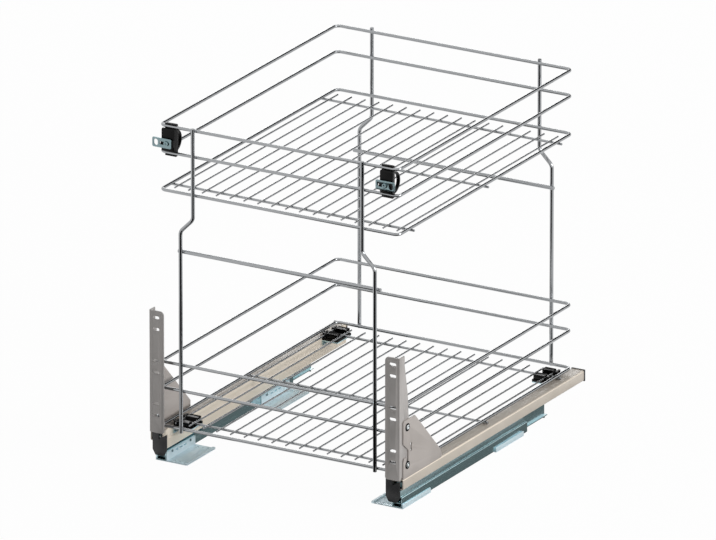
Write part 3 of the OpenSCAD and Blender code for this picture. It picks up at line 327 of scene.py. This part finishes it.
def zinc_passivated_steel(name, hex_value, gloss_low=0.17, gloss_high=0.25, metallic=1.0):
    """Blue passivated zinc plate on rolled steel strip: streaks along the strip and a cool sheen"""
    material, tree = new_material(name)
    place = add_node(tree, "ShaderNodeTexCoord").outputs["Object"]
    # Rolling streaks 0.8 mm apart and 40 mm long run along the strip
    along = add_node(tree, "ShaderNodeMapping", {"Vector": place, "Scale": (1.0, 0.02, 1.0)})
    streaks = add_node(tree, "ShaderNodeTexNoise", {"Vector": along.outputs["Vector"], "Scale": 1 / (0.8 * MM),
                                                    "Detail": 2.0})
    # Patches of passivation about 15 mm across
    patches = add_node(tree, "ShaderNodeTexNoise", {"Vector": place, "Scale": 1 / (15 * MM), "Detail": 3.0})
    hue = add_node(tree, "ShaderNodeMapRange", {"Value": patches.outputs["Fac"], **NOISE_SPAN, "To Min": 0.49,
                                                "To Max": 0.51})
    value = add_node(tree, "ShaderNodeMapRange", {"Value": streaks.outputs["Fac"], **NOISE_SPAN, "To Min": 0.96,
                                                  "To Max": 1.03})
    gloss = add_node(tree, "ShaderNodeMapRange", {"Value": streaks.outputs["Fac"], **NOISE_SPAN,
                                                  "To Min": gloss_low, "To Max": gloss_high})
    shade = add_node(tree, "ShaderNodeHueSaturation", {
        "Color": linear(hex_value), "Hue": hue.outputs["Result"], "Value": value.outputs["Result"]})
    bump = add_node(tree, "ShaderNodeBump", {"Height": streaks.outputs["Fac"], "Strength": 0.1,
                                             "Distance": 0.05 * MM})
    shader = add_node(tree, "ShaderNodeBsdfPrincipled", {
        "Base Color": shade.outputs["Color"], "Metallic": metallic, "Roughness": gloss.outputs["Result"],
        "Normal": bump.outputs["Normal"]})
    add_node(tree, "ShaderNodeOutputMaterial", {"Surface": shader.outputs["BSDF"]})
    return material


def moulded_plastic(name, hex_value, gloss_low, gloss_high, specular=0.5):
    """Injection moulded plastic: a fine spark eroded texture that breaks up the highlight"""
    material, tree = new_material(name)
    place = add_node(tree, "ShaderNodeTexCoord").outputs["Object"]
    # Mould texture 0.5 mm across
    grain = add_node(tree, "ShaderNodeTexNoise", {"Vector": place, "Scale": 1 / (0.5 * MM), "Detail": 1.0})
    gloss = add_node(tree, "ShaderNodeMapRange", {"Value": grain.outputs["Fac"], **NOISE_SPAN, "To Min": gloss_low,
                                                  "To Max": gloss_high})
    bump = add_node(tree, "ShaderNodeBump", {"Height": grain.outputs["Fac"], "Strength": 0.15,
                                             "Distance": 0.05 * MM})
    shader = add_node(tree, "ShaderNodeBsdfPrincipled", {
        "Base Color": linear(hex_value), "Roughness": gloss.outputs["Result"], "Normal": bump.outputs["Normal"],
        "Specular IOR Level": specular})
    add_node(tree, "ShaderNodeOutputMaterial", {"Surface": shader.outputs["BSDF"]})
    return material


def studio_white(name, hex_value, glow):
    """Matt white that the camera and mirror surfaces see as nearly plain white, with soft shadows left in it"""
    material, tree = new_material(name)
    share = add_node(tree, "ShaderNodeMath", {0: seen_directly(tree), 1: glow}, operation="MULTIPLY")
    matt = add_node(tree, "ShaderNodeBsdfDiffuse", {"Color": linear(hex_value)})
    white = add_node(tree, "ShaderNodeEmission", {"Color": WHITE, "Strength": 1.0})
    mixed = add_node(tree, "ShaderNodeMixShader", {0: share.outputs[0], 1: matt.outputs["BSDF"],
                                                   2: white.outputs["Emission"]})
    add_node(tree, "ShaderNodeOutputMaterial", {"Surface": mixed.outputs["Shader"]})
    return material


def studio_flag(name, hex_value, level):
    """Matt cloth that only mirror surfaces see, so that bright metal gets its dark bands"""
    material, tree = new_material(name)
    cloth = add_node(tree, "ShaderNodeEmission", {"Color": linear(hex_value), "Strength": level})
    add_node(tree, "ShaderNodeOutputMaterial", {"Surface": cloth.outputs["Emission"]})
    return material


# Finishes by their short names, which the finishes operator fills in
MATERIALS = {}
# The body that each imported node rides on
BODY_OF = {node: body for body, nodes in frame["record"]["behaviour"]["bodies"].items() for node in nodes}


# ---------------------------------------------------------------- shapes

def cad_mm(node):
    """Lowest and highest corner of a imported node, in millimetres"""
    low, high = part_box(node)
    return low / MM, high / MM


def wire_ring(bm, centre, along, d, segments):
    """The edges of a ring across a wire"""
    turn = Vector(along).to_track_quat("Z", "Y").to_matrix().to_4x4()
    made = bmesh.ops.create_circle(bm, segments=segments, radius=d / 2, matrix=Matrix.Translation(centre) @ turn)
    return list({e for v in made["verts"] for e in v.link_edges})


def verts_of(edges):
    """The vertices of some edges, each once"""
    return list({v for e in edges for v in e.verts})


def push_ring(bm, edges, move):
    """Draws a wire out of a ring, and gives the new ring's edges"""
    made = bmesh.ops.extrude_edge_only(bm, edges=edges)["geom"]
    verts = {g for g in made if isinstance(g, bmesh.types.BMVert)}
    bmesh.ops.translate(bm, verts=list(verts), vec=move)
    return [g for g in made if isinstance(g, bmesh.types.BMEdge) and g.verts[0] in verts and g.verts[1] in verts]


def end_ring(bm, edges, along, d, chamfer):
    """Chamfers and closes the cut end of a wire"""
    verts = verts_of(edges)
    centre = sum((v.co for v in verts), Vector()) / len(verts)
    inset = push_ring(bm, edges, along * chamfer)
    factor = (d - 2 * chamfer) / d
    bmesh.ops.scale(bm, vec=(factor,) * 3, verts=verts_of(inset),
                    space=Matrix.Translation(-centre - along * chamfer))
    bmesh.ops.contextual_create(bm, geom=inset)


def bend_steps(angle):
    """How many steps a bend takes"""
    return max(2, round(math.degrees(angle) / BEND_STEP_DEG))


def sweep_wire(bm, corners, d, bend_r, segments, closed=False, chamfer=0.0):
    """
    A round wire through the corners, with bends of one radius. A closed one starts halfway along its first side,
    and an open one gets chamfered ends.
    """
    route = [Vector(p) for p in corners]
    if closed:
        start = (route[0] + route[1]) / 2
        route = [start] + route[1:] + [route[0], start]
    directions = [(b - a).normalized() for a, b in zip(route, route[1:])]
    trim = 0.0 if closed else chamfer
    at = route[0] + directions[0] * trim
    first = edges = wire_ring(bm, at, directions[0], d, segments)
    for along, after, corner in zip(directions, directions[1:], route[1:]):
        angle = along.angle(after)
        tangent = bend_r * math.tan(angle / 2)
        goal = corner - along * tangent
        edges = push_ring(bm, edges, goal - at)
        axis = along.cross(after).normalized()
        spun = bmesh.ops.spin(bm, geom=verts_of(edges) + edges, cent=goal + axis.cross(along) * bend_r, axis=axis,
                              dvec=(0, 0, 0), angle=angle, steps=bend_steps(angle), use_merge=False,
                              use_normal_flip=False, use_duplicate=False)
        edges = [g for g in spun["geom_last"] if isinstance(g, bmesh.types.BMEdge)]
        at = corner + after * tangent
    edges = push_ring(bm, edges, route[-1] - directions[-1] * trim - at)
    if closed:
        bmesh.ops.remove_doubles(bm, verts=verts_of(first) + verts_of(edges), dist=MERGE)
    else:
        end_ring(bm, edges, directions[-1], d, chamfer)
        end_ring(bm, first, -directions[0], d, chamfer)


def flat_bar(bm, low, high):
    """A block from its lowest to its highest corner"""
    low, high = Vector(low), Vector(high)
    place = Matrix.Translation((low + high) / 2) @ Matrix.Diagonal((*(high - low), 1.0))
    bmesh.ops.create_cube(bm, size=1.0, matrix=place)


def cross_bars(bm, middle, axis, near, far, screw):
    """The two bars that cut a cross recess, from near to far along an axis"""
    across = [i for i in range(3) if i != axis]
    for halves in ((screw.recess_half_l, screw.recess_half_w), (screw.recess_half_w, screw.recess_half_l)):
        low, high = middle.copy(), middle.copy()
        low[axis], high[axis] = near, far
        for i, half in zip(across, halves):
            low[i] -= half
            high[i] += half
        flat_bar(bm, low, high)


def washer(bm, start, along, screw):
    """A flat ring round a screw, from a point along a direction"""
    start, along = Vector(start), Vector(along)
    rings = [wire_ring(bm, start + along * lift, along, d, WASHER_SEGMENTS)
             for lift in (0.0, screw.washer_t) for d in (screw.washer_hole_d, screw.washer_d)]
    for a, b in ((0, 1), (1, 3), (3, 2), (2, 0)):
        bmesh.ops.bridge_loops(bm, edges=rings[a] + rings[b])


def packed_shape(node):
    """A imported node's shape in millimetres, with its flat faces whole"""
    bm = bmesh.new()
    bm.from_mesh(frame["nodes"][node].data)
    bmesh.ops.scale(bm, vec=(1 / MM,) * 3, verts=bm.verts[:])
    bmesh.ops.remove_doubles(bm, verts=bm.verts[:], dist=MERGE)
    bmesh.ops.dissolve_limit(bm, angle_limit=FLAT_ANGLE, use_dissolve_boundaries=False, verts=bm.verts[:],
                             edges=bm.edges[:], delimit={"NORMAL"})
    return bm


def loose_boxes(node):
    """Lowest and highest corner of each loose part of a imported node, in millimetres"""
    bm = bmesh.new()
    bm.from_mesh(frame["nodes"][node].data)
    bmesh.ops.remove_doubles(bm, verts=bm.verts[:], dist=MERGE * MM)
    left = set(bm.verts)
    boxes = []
    while left:
        group, frontier = set(), [left.pop()]
        while frontier:
            v = frontier.pop()
            group.add(v)
            for e in v.link_edges:
                other = e.other_vert(v)
                if other in left:
                    left.discard(other)
                    frontier.append(other)
        low = Vector(min(v.co[i] for v in group) for i in range(3))
        high = Vector(max(v.co[i] for v in group) for i in range(3))
        boxes.append((low / MM, high / MM))
    bm.free()
    return sorted(boxes, key=lambda pair: tuple(pair[0]))


def round_folds(bm, axis, radius, segments, keep):
    """Rounds the long edges along an axis that keep says are folds"""
    folds = []
    for e in bm.edges:
        start, end = (v.co for v in e.verts)
        run = end - start
        if abs(run[axis]) > FOLD_RADII * radius and 1 - abs(run.normalized()[axis]) < PARALLEL:
            if keep(start) and keep(end):
                folds.append(e)
    bmesh.ops.bevel(bm, geom=folds, offset=radius, segments=segments, profile=0.5, affect="EDGES",
                    clamp_overlap=True, material=-1)


def make_mesh_object(name, bm):
    """An object in the scene whose mesh is a bmesh's"""
    mesh = bpy.data.meshes.new(name)
    bm.to_mesh(mesh)
    bm.free()
    thing = bpy.data.objects.new(name, mesh)
    bpy.context.scene.collection.objects.link(thing)
    return thing


def finish_piece(name, bm, body, finish, stands_for, cutter=None, edge=0.0):
    """Cuts and rounds a shape in millimetres, then makes it a piece in metres, on its body"""
    bmesh.ops.recalc_face_normals(bm, faces=bm.faces[:])
    thing = make_mesh_object(name, bm)
    tool = None
    if cutter:
        bmesh.ops.recalc_face_normals(cutter, faces=cutter.faces[:])
        tool = make_mesh_object(name + "_cutter", cutter)
        modifier = thing.modifiers.new("Holes", "BOOLEAN")
        modifier.operation = "DIFFERENCE"
        modifier.solver = "EXACT"
        modifier.use_self = True
        modifier.object = tool
    if edge:
        modifier = thing.modifiers.new("Edges", "BEVEL")
        modifier.width = edge
        modifier.segments = EDGE_SEGMENTS
        modifier.limit_method = "ANGLE"
        modifier.angle_limit = BEVEL_ANGLE
        modifier.use_clamp_overlap = True
    bpy.context.view_layer.update()
    graph = bpy.context.evaluated_depsgraph_get()
    finished = bpy.data.meshes.new_from_object(thing.evaluated_get(graph))
    rough = thing.data
    thing.modifiers.clear()
    thing.data = finished
    finished.name = name
    bpy.data.meshes.remove(rough)
    if tool:
        shape = tool.data
        bpy.data.objects.remove(tool)
        bpy.data.meshes.remove(shape)
    finished.transform(Matrix.Scale(MM, 4))
    finished.shade_smooth()
    finished.set_sharp_from_angle(angle=SMOOTH_ANGLE)
    finished.materials.clear()
    finished.materials.append(MATERIALS[finish])
    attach(thing, body)
    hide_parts(*stands_for)


def wire_piece(node, bm):
    """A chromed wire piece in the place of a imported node"""
    finish_piece("wire_" + node, bm, BODY_OF[node], "chrome", [node])


def dressed_piece(node, finish, edge, bm=None, cutter=None):
    """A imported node's shape, or one made from it, with its edges rounded"""
    finish_piece(node + "_finished", bm or packed_shape(node), BODY_OF[node], finish, [node], cutter=cutter,
                 edge=edge)


# ---------------------------------------------------------------- finishes

class BASKET_OT_finishes(bpy.types.Operator):
    """Makes the finishes that the pieces share"""
    bl_idname = "basket.finishes"
    bl_label = "Finishes"

    def execute(self, context):
        colours = context.scene.basket_colours
        edges = context.scene.basket_edges
        MATERIALS["chrome"] = chrome_plated_wire(colours)
        low, high = cad_mm("basket_rail_right")
        # The rail paint carries painted highlights along the folds and painted light on the inner walls
        MATERIALS["rail"] = satin_paint("champagne_coat_with_painted_light", colours.rail, painted_light_hex=colours.rail_fold,
                                        folds=[(high.x, high.z), (low.x + edges.ledge_line, high.z)],
                                        fold_highlight=edges.fold_highlight, inner_x=low.x + edges.inner_light_depth)
        MATERIALS["gusset"] = satin_paint("taupe_powder_coat", colours.gusset)
        MATERIALS["bracket"] = satin_paint("grey_powder_coat", colours.bracket)
        MATERIALS["zinc"] = zinc_passivated_steel("blue_zinc_strip", colours.zinc)
        MATERIALS["hardware"] = zinc_passivated_steel("zinc_plated_hardware", colours.hardware)
        # Paler and partly matt zinc: partly the feet's own finish, partly painted light for feet in the key lamp's
        # shade
        MATERIALS["foot"] = zinc_passivated_steel("pale_zinc_with_painted_light", colours.foot, 0.34, 0.46, metallic=0.35)
        MATERIALS["screw"] = zinc_passivated_steel("bright_zinc_screw", colours.screw, 0.12, 0.20)
        # Dark ring round each bracket screw head
        MATERIALS["dark_ring"] = zinc_passivated_steel("dark_ring_steel", colours.dark_ring)
        MATERIALS["cap"] = moulded_plastic("black_polypropylene", colours.cap, 0.38, 0.50)
        MATERIALS["clip"] = moulded_plastic("black_polyamide", colours.clip, 0.26, 0.36, specular=0.15)
        MATERIALS["nylon"] = moulded_plastic("natural_nylon", colours.nylon, 0.35, 0.5)
        return {"FINISHED"}


# ---------------------------------------------------------------- baskets

class BASKET_OT_rails(bpy.types.Operator):
    """Rail wires, cross wires and floor wires of both baskets"""
    bl_idname = "basket.rails"
    bl_label = "Basket Wires"

    def execute(self, context):
        wires = context.scene.basket_wires
        for tier in TIERS:
            for rail in ("top_rail", "mid_rail", "floor_rail"):
                self.rail_loop(f"{tier}_{rail}", wires)
            self.straight_wires(f"{tier}_cross_wires", 0, wires)
            self.straight_wires(f"{tier}_floor_wires", 1, wires)
        return {"FINISHED"}

    def rail_loop(self, node, wires):
        """A closed rail wire with round corners"""
        low, high = cad_mm(node)
        d = high.z - low.z
        z = (low.z + high.z) / 2
        x0, x1, y0, y1 = low.x + d / 2, high.x - d / 2, low.y + d / 2, high.y - d / 2
        bm = bmesh.new()
        sweep_wire(bm, [(x0, y0, z), (x1, y0, z), (x1, y1, z), (x0, y1, z)], d, wires.corner_r, wires.segments,
                   closed=True)
        wire_piece(node, bm)

    def straight_wires(self, node, axis, wires):
        """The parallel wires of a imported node, each found by its own loose part"""
        bm = bmesh.new()
        for low, high in loose_boxes(node):
            start = (low + high) / 2
            end = start.copy()
            start[axis], end[axis] = low[axis], high[axis]
            sweep_wire(bm, [start, end], high.z - low.z, 0.0, wires.thin_segments, chamfer=wires.end_chamfer)
        wire_piece(node, bm)


class BASKET_OT_uprights(bpy.types.Operator):
    """The four uprights with their jog, and the two crossbars"""
    bl_idname = "basket.uprights"
    bl_label = "Uprights"

    def execute(self, context):
        wires = context.scene.basket_wires
        for end in ("front", "rear"):
            for side, sign in SIDES:
                node = f"{end}_upright_{side}"
                low, high = cad_mm(node)
                d = high.y - low.y
                y = (low.y + high.y) / 2
                inner = min(abs(low.x), abs(high.x)) + d / 2
                outer = max(abs(low.x), abs(high.x)) - d / 2
                route = [(sign * inner, y, high.z), (sign * inner, y, wires.jog_top),
                         (sign * outer, y, wires.jog_bottom), (sign * outer, y, low.z)]
                bm = bmesh.new()
                sweep_wire(bm, route, d, wires.jog_r, wires.segments, chamfer=wires.end_chamfer)
                wire_piece(node, bm)
            node = f"{end}_crossbar"
            low, high = cad_mm(node)
            y, z, d = (low.y + high.y) / 2, (low.z + high.z) / 2, high.z - low.z
            bm = bmesh.new()
            sweep_wire(bm, [(low.x, y, z), (high.x, y, z)], d, 0.0, wires.segments, chamfer=wires.end_chamfer)
            wire_piece(node, bm)
        return {"FINISHED"}


# ---------------------------------------------------------------- runners

class BASKET_OT_basket_rails(bpy.types.Operator):
    """The two painted basket rails with round folds, and their end caps"""
    bl_idname = "basket.basket_rails"
    bl_label = "Basket Rails"

    def execute(self, context):
        edges = context.scene.basket_edges
        for side, _ in SIDES:
            node = f"basket_rail_{side}"
            low, high = cad_mm(node)
            inner, outer = sorted((abs(low.x), abs(high.x)))
            bm = packed_shape(node)
            round_folds(bm, 1, edges.rail_fold, edges.fold_segments,
                        lambda co: outer - abs(co.x) < ON_FACE or
                        (high.z - co.z < ON_FACE and abs(co.x) - inner < edges.rail_edge))
            dressed_piece(node, "rail", edges.sheet, bm)
            dressed_piece(f"front_cap_{side}", "cap", edges.moulding)
            dressed_piece(f"rear_cap_{side}", "cap", edges.moulding)
        return {"FINISHED"}


class BASKET_OT_runners(bpy.types.Operator):
    """Cabinet rails, middle rails, feet and their rivets"""
    bl_idname = "basket.runners"
    bl_label = "Runners"

    def execute(self, context):
        edges = context.scene.basket_edges
        for side, _ in SIDES:
            node = f"cabinet_rail_{side}"
            low, high = cad_mm(node)
            outer = max(abs(low.x), abs(high.x))
            bm = packed_shape(node)
            round_folds(bm, 1, edges.runner_fold, edges.fold_segments, lambda co: outer - abs(co.x) < ON_FACE)
            dressed_piece(node, "zinc", edges.sheet, bm)
            dressed_piece(f"middle_rail_{side}", "zinc", edges.sheet)
            dressed_piece(f"front_foot_{side}", "foot", edges.sheet)
            dressed_piece(f"rear_foot_{side}", "foot", edges.sheet)
        dressed_piece("foot_rivets", "hardware", edges.rivet)
        return {"FINISHED"}


class BASKET_OT_basket_clips(bpy.types.Operator):
    """Clips that hold the lower basket, with their tabs and rivets"""
    bl_idname = "basket.basket_clips"
    bl_label = "Basket Clips"

    def execute(self, context):
        edges = context.scene.basket_edges
        dressed_piece("basket_clips", "clip", edges.sheet)
        dressed_piece("clip_tabs", "zinc", edges.sheet)
        dressed_piece("clip_rivets", "hardware", edges.sheet)
        return {"FINISHED"}


# ---------------------------------------------------------------- door fittings

class BASKET_OT_door_brackets(bpy.types.Operator):
    """Gusset plates and slotted door brackets with their screws, a dark ring round each screw, and rivets"""
    bl_idname = "basket.door_brackets"
    bl_label = "Door Brackets"

    def execute(self, context):
        edges = context.scene.basket_edges
        for side, _ in SIDES:
            dressed_piece(f"gusset_{side}", "gusset", edges.sheet)
            node = f"door_bracket_{side}"
            low, high = cad_mm(node)
            outer = max(abs(low.x), abs(high.x))
            bm = packed_shape(node)
            round_folds(bm, 2, edges.bracket_fold, edges.fold_segments,
                        lambda co: outer - abs(co.x) < ON_FACE and co.y - low.y < ON_FACE)
            dressed_piece(node, "bracket", edges.sheet, bm)
        dressed_piece("gusset_rivets", "hardware", edges.rivet)
        self.screws(edges, context.scene.basket_screws)
        return {"FINISHED"}

    def screws(self, edges, screw):
        """The bracket screws with a cross recess, and a dark ring round each head"""
        plate = cad_mm("gusset_right")[1].x
        cutter, dark_rings = bmesh.new(), bmesh.new()
        for low, high in loose_boxes("bracket_screws"):
            middle = (low + high) / 2
            sign = 1 if middle.x > 0 else -1
            top = max(abs(low.x), abs(high.x))
            near, far = sorted((sign * (top - screw.recess), sign * (top + OVERCUT)))
            cross_bars(cutter, middle, 0, near, far, screw)
            washer(dark_rings, (sign * plate, middle.y, middle.z), (sign, 0, 0), screw)
        dressed_piece("bracket_screws", "screw", edges.rivet, cutter=cutter)
        finish_piece("bracket_dark_rings", dark_rings, BODY_OF["bracket_screws"], "dark_ring", [])


class BASKET_OT_door_plates(bpy.types.Operator):
    """Top clips, their clamp screws and the sliding door plates"""
    bl_idname = "basket.door_plates"
    bl_label = "Door Plates"

    def execute(self, context):
        edges = context.scene.basket_edges
        screw = context.scene.basket_screws
        for side, _ in SIDES:
            dressed_piece(f"top_clip_{side}", "clip", edges.moulding)
            node = f"door_plate_{side}"
            low, high = cad_mm(node)
            bm = packed_shape(node)
            # The corner edges run through the plate's thickness, at its two ends
            thickness = high.y - low.y
            corners = [e for e in bm.edges if abs(e.verts[0].co.y - e.verts[1].co.y) > thickness - ON_FACE
                       and all(min(v.co.x - low.x, high.x - v.co.x) < ON_FACE for v in e.verts)]
            bmesh.ops.bevel(bm, geom=corners, offset=edges.plate_corner, segments=edges.fold_segments, profile=0.5,
                            affect="EDGES", material=-1)
            dressed_piece(node, "hardware", edges.sheet, bm)
        cutter = bmesh.new()
        for low, high in loose_boxes("clamp_screws"):
            cross_bars(cutter, (low + high) / 2, 1, low.y - OVERCUT, low.y + screw.recess, screw)
        dressed_piece("clamp_screws", "hardware", edges.rivet, cutter=cutter)
        return {"FINISHED"}


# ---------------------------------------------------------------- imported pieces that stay

KEPT_FINISH = {
    "lower_glide": "nylon", "upper_glide": "nylon", "lower_roller_cage": "zinc", "upper_roller_cage": "zinc",
    "lower_rollers": "nylon", "upper_rollers": "nylon",
}


class BASKET_OT_packed_pieces(bpy.types.Operator):
    """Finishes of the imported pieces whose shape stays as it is"""
    bl_idname = "basket.packed_pieces"
    bl_label = "Packed Pieces"

    def execute(self, context):
        for node, thing in frame["nodes"].items():
            kind = node.removesuffix("_left").removesuffix("_right")
            if kind in KEPT_FINISH:
                thing.data.materials.clear()
                thing.data.materials.append(MATERIALS[KEPT_FINISH[kind]])
        return {"FINISHED"}


# ---------------------------------------------------------------- stage

class BASKET_OT_stage(bpy.types.Operator):
    """Floor, world, lamps and camera"""
    bl_idname = "basket.stage"
    bl_label = "Stage"

    def execute(self, context):
        scene = context.scene
        stage = scene.basket_stage
        self.floor(scene, stage)
        self.world(scene, stage)
        self.lamps(scene, stage)
        self.flags(scene.basket_colours, stage)
        self.camera(scene, stage)
        scene.view_settings.view_transform = "Standard"
        return {"FINISHED"}

    def floor(self, scene, stage):
        bm = bmesh.new()
        bmesh.ops.create_grid(bm, x_segments=1, y_segments=1, size=stage.floor_half)
        floor = make_mesh_object("studio_floor", bm)
        white = studio_white("white_studio_floor", scene.basket_colours.floor, stage.floor_glow)
        floor.data.materials.append(white)

    def world(self, scene, stage):
        world = bpy.data.worlds.new("studio_world")
        world.use_nodes = True
        tree = world.node_tree
        tree.nodes.clear()
        level = add_node(tree, "ShaderNodeMapRange", {"Value": seen_directly(tree), "To Min": stage.world_level,
                                                      "To Max": 1.0})
        light = add_node(tree, "ShaderNodeBackground", {"Color": WHITE, "Strength": level.outputs["Result"]})
        add_node(tree, "ShaderNodeOutputWorld", {"Surface": light.outputs["Background"]})
        # The lamps are sampled directly, and the world only by the surfaces, so that metal sees it at its full
        # level
        world.cycles.sampling_method = "NONE"
        scene.world = world

    def lamps(self, scene, stage):
        self.lamp(scene, "key_lamp", stage.key_place, stage.key_size, stage.key_power)
        self.lamp(scene, "rim_lamp", stage.rim_place, stage.rim_size, stage.rim_power)
        self.lamp(scene, "top_lamp", stage.top_place, stage.top_size, stage.top_power)

    def flags(self, colours, stage):
        """Black flags on the floor in front and high behind, and a dark cloth under each runner"""
        black = studio_flag("black_flag", colours.flag, stage.flag_level)
        shade = studio_flag("dark_floor_cloth", colours.cloth, stage.shade_level)
        self.flag("front_flag", [(x, y, FLAG_Z) for x, y in FRONT_FLAG], black)
        self.flag("back_flag", [(x, BACK_FLAG_Y, z) for x, z in BACK_FLAG], black)
        front, rear = stage.cloth_front, stage.cloth_rear
        for name, left, right in RUNNER_CLOTHS:
            self.flag(name, [(left, front, CLOTH_Z), (right, front, CLOTH_Z), (right, rear, CLOTH_Z),
                             (left, rear, CLOTH_Z)], shade)

    def flag(self, name, corners, finish):
        """A flat cloth that is seen only in mirror surfaces"""
        bm = bmesh.new()
        bm.faces.new([bm.verts.new(c) for c in corners])
        cloth = make_mesh_object(name, bm)
        cloth.data.materials.append(finish)
        cloth.visible_camera = False
        cloth.visible_diffuse = False
        cloth.visible_transmission = False
        cloth.visible_shadow = False

    def lamp(self, scene, name, place, size, power):
        data = bpy.data.lights.new(name, "AREA")
        data.shape = "RECTANGLE"
        data.size, data.size_y = size
        data.energy = power
        lamp = bpy.data.objects.new(name, data)
        aim = Vector(scene.basket_stage.lamp_aim) - Vector(place)
        lamp.matrix_world = Matrix.Translation(place) @ aim.to_track_quat("-Z", "Y").to_matrix().to_4x4()
        scene.collection.objects.link(lamp)

    def camera(self, scene, stage):
        az, el = stage.azimuth, stage.elevation
        right = Vector((math.cos(az), math.sin(az), 0.0))
        back = Vector((math.sin(az) * math.cos(el), -math.cos(az) * math.cos(el), math.sin(el)))
        up = back.cross(right)
        aim = Vector(stage.middle) + right * stage.aim_right + up * stage.aim_up
        data = bpy.data.cameras.new("studio_camera")
        data.sensor_width = SENSOR_WIDTH
        data.lens = stage.lens
        # Far enough to take in the whole floor
        data.clip_end = stage.distance * 4
        camera = bpy.data.objects.new("studio_camera", data)
        turn = Matrix((right, up, back)).transposed().to_4x4()
        camera.matrix_world = Matrix.Translation(aim + back * stage.distance) @ turn
        scene.collection.objects.link(camera)
        scene.camera = camera


# ---------------------------------------------------------------- add-on

OPERATORS = [
    BASKET_OT_finishes, BASKET_OT_packed_pieces, BASKET_OT_rails, BASKET_OT_uprights, BASKET_OT_basket_rails,
    BASKET_OT_runners, BASKET_OT_basket_clips, BASKET_OT_door_brackets, BASKET_OT_door_plates, BASKET_OT_stage,
]


class BASKET_PT_panel(bpy.types.Panel):
    """Lists the steps that build the basket"""
    bl_idname = "BASKET_PT_panel"
    bl_label = "Cabinet Basket"
    bl_space_type = "VIEW_3D"
    bl_region_type = "UI"
    bl_category = "Basket"

    def draw(self, context):
        for step in OPERATORS:
            self.layout.operator(step.bl_idname)


PROPERTY_GROUPS = {
    "basket_wires": WireSizes, "basket_edges": EdgeSizes, "basket_screws": ScrewSizes,
    "basket_colours": FinishColours, "basket_stage": StageSettings,
}


def register():
    for name, group in PROPERTY_GROUPS.items():
        bpy.utils.register_class(group)
        setattr(bpy.types.Scene, name, PointerProperty(type=group))
    for step in OPERATORS:
        bpy.utils.register_class(step)
    bpy.utils.register_class(BASKET_PT_panel)


def unregister():
    bpy.utils.unregister_class(BASKET_PT_panel)
    for step in reversed(OPERATORS):
        bpy.utils.unregister_class(step)
    for name, group in reversed(PROPERTY_GROUPS.items()):
        delattr(bpy.types.Scene, name)
        bpy.utils.unregister_class(group)


def main():
    register()
    for step in OPERATORS:
        group, name = step.bl_idname.split(".")
        getattr(getattr(bpy.ops, group), name)()


if __name__ == "__main__":
    main()
